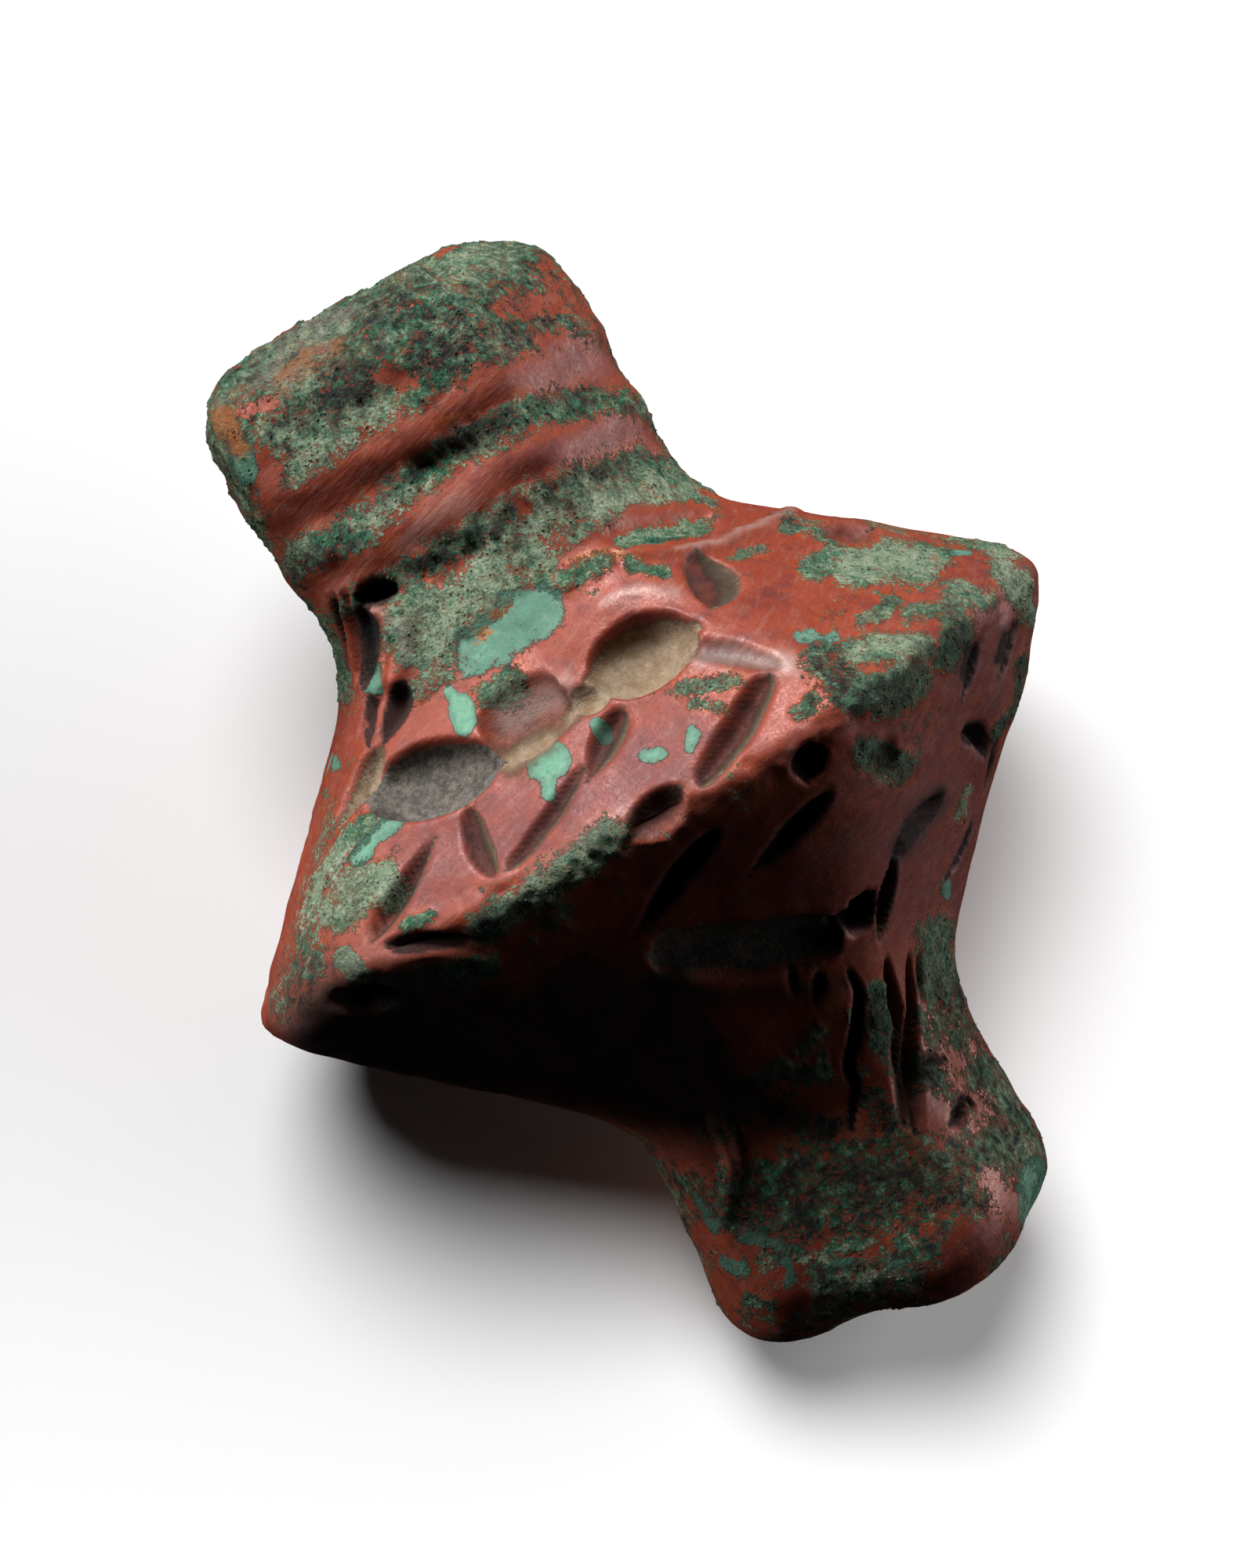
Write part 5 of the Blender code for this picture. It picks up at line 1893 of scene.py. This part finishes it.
        raggedness = 1.4 + 2.0 * sheet.layer(MOTTLE)
        crust_value = sheet.layer(CRUST) + raggedness * grains.edges
        crust_value = crust_value + 2.2 * grains.specks + 1.3 * grains.grit
        crust = crust_value.step(-0.10, 0.14)
        colour = sheet.mix(crust, self.red_metal(sheet, crust_value, grains),
                           self.green_crust(sheet, crust_value, grains))

        film_value = sheet.layer(TURQUOISE) + 1.5 * grains.edges + 1.0 * grains.specks
        film = film_value.step(-0.12, 0.12)
        film_tone = (0.9 * film_value + 1.8 * grains.blots).step(0.30, 1.0)
        film_colour = sheet.mix(film_value.step(-0.10, 0.25), self.teal, self.turquoise)
        film_colour = sheet.mix(film_tone, film_colour, self.mint)
        film_colour = sheet.mix((2.6 * grains.grit + 1.5 * grains.blots).step(0.05, 0.7) * 0.6,
                                film_colour, self.teal)
        colour = sheet.mix(film, colour, film_colour)
        orange = sheet.layer(ORANGE) + 2.6 * grains.edges + 2.4 * grains.specks
        colour = sheet.mix(orange.step(-0.15, 0.5) * 0.85, colour, self.ochre)

        # Pale scuffs: real wear, and painted highlights on lit edges and pitted spots.
        scuff_and_highlight_share = (sheet.layer(SCUFF_AND_HIGHLIGHT) + 1.2 * grains.threads).clamped()
        colour = sheet.mix(scuff_and_highlight_share * 0.6, colour, self.scuff_and_highlight)
        earth_value = sheet.layer(EARTH) + 0.7 * grains.edges
        earth = earth_value.step(0.12, 0.75)
        earth_tone = (4.0 * grains.blots + 1.5 * grains.specks + 0.5).clamped()
        earth_colour = sheet.mix(earth_tone, self.earth, self.dry_earth)
        earth_colour = sheet.mix(grains.grit.step(0.06, 0.2) * 0.6, earth_colour, self.wet_earth_and_shade)
        # The earth's thin edge, up the cut's walls, turns dark: dark earth with painted shade.
        earth_colour = sheet.mix(earth_value.step(0.4, 1.05), self.wet_earth_and_shade, earth_colour)
        colour = sheet.mix(earth, colour, earth_colour)
        ash = (sheet.layer(ASH) + 0.8 * grains.edges).step(0.1, 0.5)
        ash_tone = (2.6 * grains.blots + 2.4 * grains.grit + 1.6 * grains.specks + 0.45).clamped()
        colour = sheet.mix(ash, colour, sheet.mix(ash_tone, self.dark_ash, self.ash))
        # Black: dark dirt in the cuts, and painted shade in them, under the ridge and under the
        # overhang.
        soot_and_shade = (sheet.layer(SOOT_AND_SHADE) * (1.35 + 1.2 * grains.edges)).clamped()
        colour = sheet.mix(soot_and_shade * 0.92, colour, self.soot_and_shade)

        rough = 0.50 + 0.25 * crust + 0.12 * film + 0.3 * earth + 0.7 * grains.specks
        rough = rough + 0.3 * ash + 0.4 * soot_and_shade
        relief = crust * (0.34 * grains.grit + 0.20 * grains.specks)
        relief = relief + crust_value.step(-0.12, 0.25) * 0.05 + film * 0.02
        relief = relief + 0.012 * grains.specks + 0.03 * grains.blots
        relief = relief + 0.035 * sheet.layer(WORN) * grains.threads
        relief = relief + (earth + ash) * (0.05 * grains.grit + 0.05 * grains.specks)
        normal = sheet.node("ShaderNodeBump", {}, {
            "Strength": 1.0, "Distance": MM, "Height": relief})
        shader = sheet.node("ShaderNodeBsdfPrincipled", {}, {
            "Base Color": colour,
            "Roughness": (rough - 0.12 * scuff_and_highlight_share).clamped(),
            "Metallic": 0.1 - 0.1 * crust,
            "Specular IOR Level": 0.42,
            "Normal": normal,
        })
        return sheet.finished(shader)


@dataclass(frozen=True)
class GrainScatter:
    """Loose crystals on the crust, set on its faces by Geometry Nodes.

    Attributes:
        spacing: Mean distance between neighbours on thick crust, in mm.
        radius: Radius of a grain before it is stretched, in mm.
        seed: The scatter's fixed seed.
        least_stretch: The least that a grain is stretched, along each of its axes.
        most_stretch: The most that it is.
        clear_height: How high over the floor the first grains sit, in mm.
        full_height: The height from which they are as dense as anywhere, in mm.
    """

    spacing: float = 0.42
    radius: float = 0.062
    seed: int = 7
    least_stretch: Triple = (0.5, 0.5, 0.35)
    most_stretch: Triple = (1.7, 1.7, 1.0)
    clear_height: float = 0.5
    full_height: float = 1.2

    def make_tree(self, finish: bpy.types.Material) -> bpy.types.GeometryNodeTree:
        """Draws the node tree.

        Args:
            finish: The material of the grains.

        Returns:
            The tree, with the density, the radius and the seed as its inputs.
        """
        tree = bpy.data.node_groups.new("grain_scatter", "GeometryNodeTree")
        face = tree.interface
        for name, kind in (("Geometry", "NodeSocketGeometry"), ("Density", "NodeSocketFloat"),
                           ("Radius", "NodeSocketFloat"), ("Seed", "NodeSocketInt")):
            face.new_socket(name=name, in_out="INPUT", socket_type=kind)
        face.new_socket(name="Geometry", in_out="OUTPUT", socket_type="NodeSocketGeometry")
        sheet = NodeSheet(tree)
        given = tree.nodes.new("NodeGroupInput")
        crust, soot_and_shade = (
            sheet.node("GeometryNodeInputNamedAttribute", {"data_type": "FLOAT"},
                       {"Name": mineral.value})
            for mineral in (CRUST, SOOT_AND_SHADE))
        place = sheet.node("GeometryNodeInputPosition", {}, {})
        up = sheet.node("ShaderNodeSeparateXYZ", {}, {"Vector": place}, "Z")
        off_floor = up.step(self.clear_height * MM, self.full_height * MM)
        density = (crust - 2.0 * soot_and_shade).step(0.0, 0.6) * off_floor
        density = density * Wire(sheet, given.outputs["Density"])
        seed = Wire(sheet, given.outputs["Seed"])
        settings = {"distribute_method": "RANDOM"}
        points = sheet.node("GeometryNodeDistributePointsOnFaces", settings, {
            "Mesh": Wire(sheet, given.outputs["Geometry"]),
            "Density": density,
            "Seed": seed,
        })
        turned = Wire(sheet, points.socket.node.outputs["Rotation"])
        crystal = sheet.node("GeometryNodeMeshIcoSphere", {}, {
            "Radius": Wire(sheet, given.outputs["Radius"]), "Subdivisions": 1})
        stretch = sheet.node("FunctionNodeRandomValue", {"data_type": "FLOAT_VECTOR"}, {
            "Min": self.least_stretch, "Max": self.most_stretch, "Seed": seed})
        set_on = sheet.node("GeometryNodeInstanceOnPoints", {}, {
            "Points": points, "Instance": crystal, "Rotation": turned, "Scale": stretch})
        real = sheet.node("GeometryNodeRealizeInstances", {}, {"Geometry": set_on})
        dressed = sheet.node("GeometryNodeSetMaterial", {}, {
            "Geometry": real, "Material": finish})
        result = tree.nodes.new("NodeGroupOutput")
        tree.links.new(dressed.socket, result.inputs["Geometry"])
        return tree

    def scatter(self, seal: bpy.types.Object, finish: bpy.types.Material) -> bpy.types.Object:
        """Scatters the grains over the seal.

        Args:
            seal: The seal's body, whose crust they sit on.
            finish: The material of the grains.

        Returns:
            One object that holds them all.
        """
        carrier = put_in_scene("grain_carrier", seal.data)
        modifier = carrier.modifiers.new("grains", "NODES")
        modifier.node_group = self.make_tree(finish)
        values = {
            "Density": (MM * self.spacing) ** -2,
            "Radius": MM * self.radius,
            "Seed": self.seed,
        }
        for item in modifier.node_group.interface.items_tree:
            if item.in_out == "INPUT" and item.name in values:
                modifier[item.identifier] = values[item.name]
        graph = bpy.context.evaluated_depsgraph_get()
        mesh = bpy.data.meshes.new_from_object(carrier.evaluated_get(graph))
        mesh.name = "crust_grains"
        bpy.data.objects.remove(carrier)
        return put_in_scene("crust_grains", mesh)


@dataclass(frozen=True)
class Lamp:
    """One soft light of the studio.

    Attributes:
        name: What its object and its group are called by.
        towards: The way to it: across the picture's axis, along the seal, and over it.
        strength: Its strength.
        softness: How wide it looks from the seal, in degrees.
        on_seal: Whether it lights the seal.
        on_floor: Whether it lights the floor.
    """

    name: str
    towards: Triple
    strength: float
    softness: float
    on_seal: bool = True
    on_floor: bool = True


LAMPS = (
    Lamp("key", (0.17, 0.91, 0.34), 5.0, 24.0, on_floor=False),
    Lamp("left", (-0.70, 0.70, 0.13), 2.0, 24.0, on_floor=False),
    Lamp("side", (0.96, -0.19, -0.17), 1.3, 20.0, on_floor=False),
    Lamp("low", (0.88, -0.45, 0.15), 0.30, 30.0, on_floor=False),
    Lamp("overhead", (0.10, 0.61, 0.79), 2.8, 30.0, on_seal=False),
    Lamp("beyond", (0.95, -0.32, 0.04), 3.8, 88.0, on_seal=False),
)


@dataclass(frozen=True)
class Studio:
    """The plain pale floor and the soft light over it.

    Attributes:
        view: Where the photograph was taken from.
        lamps: The lights.
        room_light: Strength of the dim light from all round.
        floor_reach: How far the floor goes from the origin, in metres.
        floor_grey: How much light the floor gives back, from 0 to 1.
    """

    view: Viewpoint
    lamps: tuple[Lamp, ...] = LAMPS
    room_light: float = 0.004
    floor_reach: float = 1.5
    floor_grey: float = 0.93

    def make_floor(self) -> bpy.types.Object:
        """Lays the floor, which isn't part of the seal and throws no light back on it.

        Returns:
            The floor.
        """
        mesh = bpy.data.meshes.new("floor")
        reach = self.floor_reach
        corners = [(-reach, -reach, 0.0), (reach, -reach, 0.0), (reach, reach, 0.0),
                   (-reach, reach, 0.0)]
        mesh.from_pydata(corners, [], [(0, 1, 2, 3)])
        floor = put_in_scene("floor", mesh)
        sheet = MaterialSheet("white_floor")
        pale = (self.floor_grey, self.floor_grey, self.floor_grey, 1.0)
        shader = sheet.node("ShaderNodeBsdfDiffuse", {}, {"Color": pale})
        mesh.materials.append(sheet.finished(shader))
        floor.visible_diffuse = False
        floor.visible_glossy = False
        floor.visible_shadow = False
        return floor

    def hang(self, lamp: Lamp, floor: bpy.types.Object) -> None:
        """Hangs one light.

        Args:
            lamp: The light.
            floor: The floor, which the light may leave out or keep to.
        """
        across, axis, over = self.view.picture_axes()
        way = lamp.towards[0] * across + lamp.towards[1] * axis + lamp.towards[2] * over
        light = bpy.data.lights.new(lamp.name, "SUN")
        light.energy = lamp.strength
        light.angle = math.radians(lamp.softness)
        holder = put_in_scene(lamp.name, light)
        holder.rotation_euler = Vector(way).to_track_quat("Z", "Y").to_euler()
        if not (lamp.on_seal and lamp.on_floor):
            lit = bpy.data.collections.new(f"lit_by_{lamp.name}")
            lit.objects.link(floor)
            state = "INCLUDE" if lamp.on_floor else "EXCLUDE"
            lit.collection_objects[0].light_linking.link_state = state
            holder.light_linking.receiver_collection = lit

    def light_up(self, floor: bpy.types.Object) -> None:
        """Hangs the lights in a dim room.

        Args:
            floor: The floor.
        """
        for lamp in self.lamps:
            self.hang(lamp, floor)
        world = bpy.data.worlds.new("room")
        world.use_nodes = True
        background = world.node_tree.nodes["Background"]
        background.inputs["Color"].default_value = (1.0, 1.0, 1.0, 1.0)
        background.inputs["Strength"].default_value = self.room_light
        bpy.context.scene.world = world
        bpy.context.scene.view_settings.view_transform = "Standard"


def hand_over(piece: bpy.types.Object) -> None:
    """Says what a finished piece rides on and stands for, and reports it.

    Args:
        piece: The piece.
    """
    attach(piece, "root")
    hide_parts("seal")
    log.info("%s: %d faces", piece.name, len(piece.data.polygons))


def main() -> None:
    """Builds the seal and its studio, and reports each piece."""
    logging.basicConfig(level=logging.INFO, format="%(message)s")
    crisp_ridge = 0.7
    skin = Skin()
    resting = Resting.of(skin)
    view = Viewpoint(resting)
    view.make_camera()
    finish = CorrodedCopper(resting.rise, tuple(resting.place)).make()
    seal = SealBody(replace(skin, ridge_bluntness=crisp_ridge), resting, view).build_mesh()
    seal.data.materials.append(finish)
    grains = GrainScatter().scatter(seal, finish)
    hand_over(seal)
    hand_over(grains)
    studio = Studio(view)
    studio.light_up(studio.make_floor())


if __name__ == "__main__":
    main()
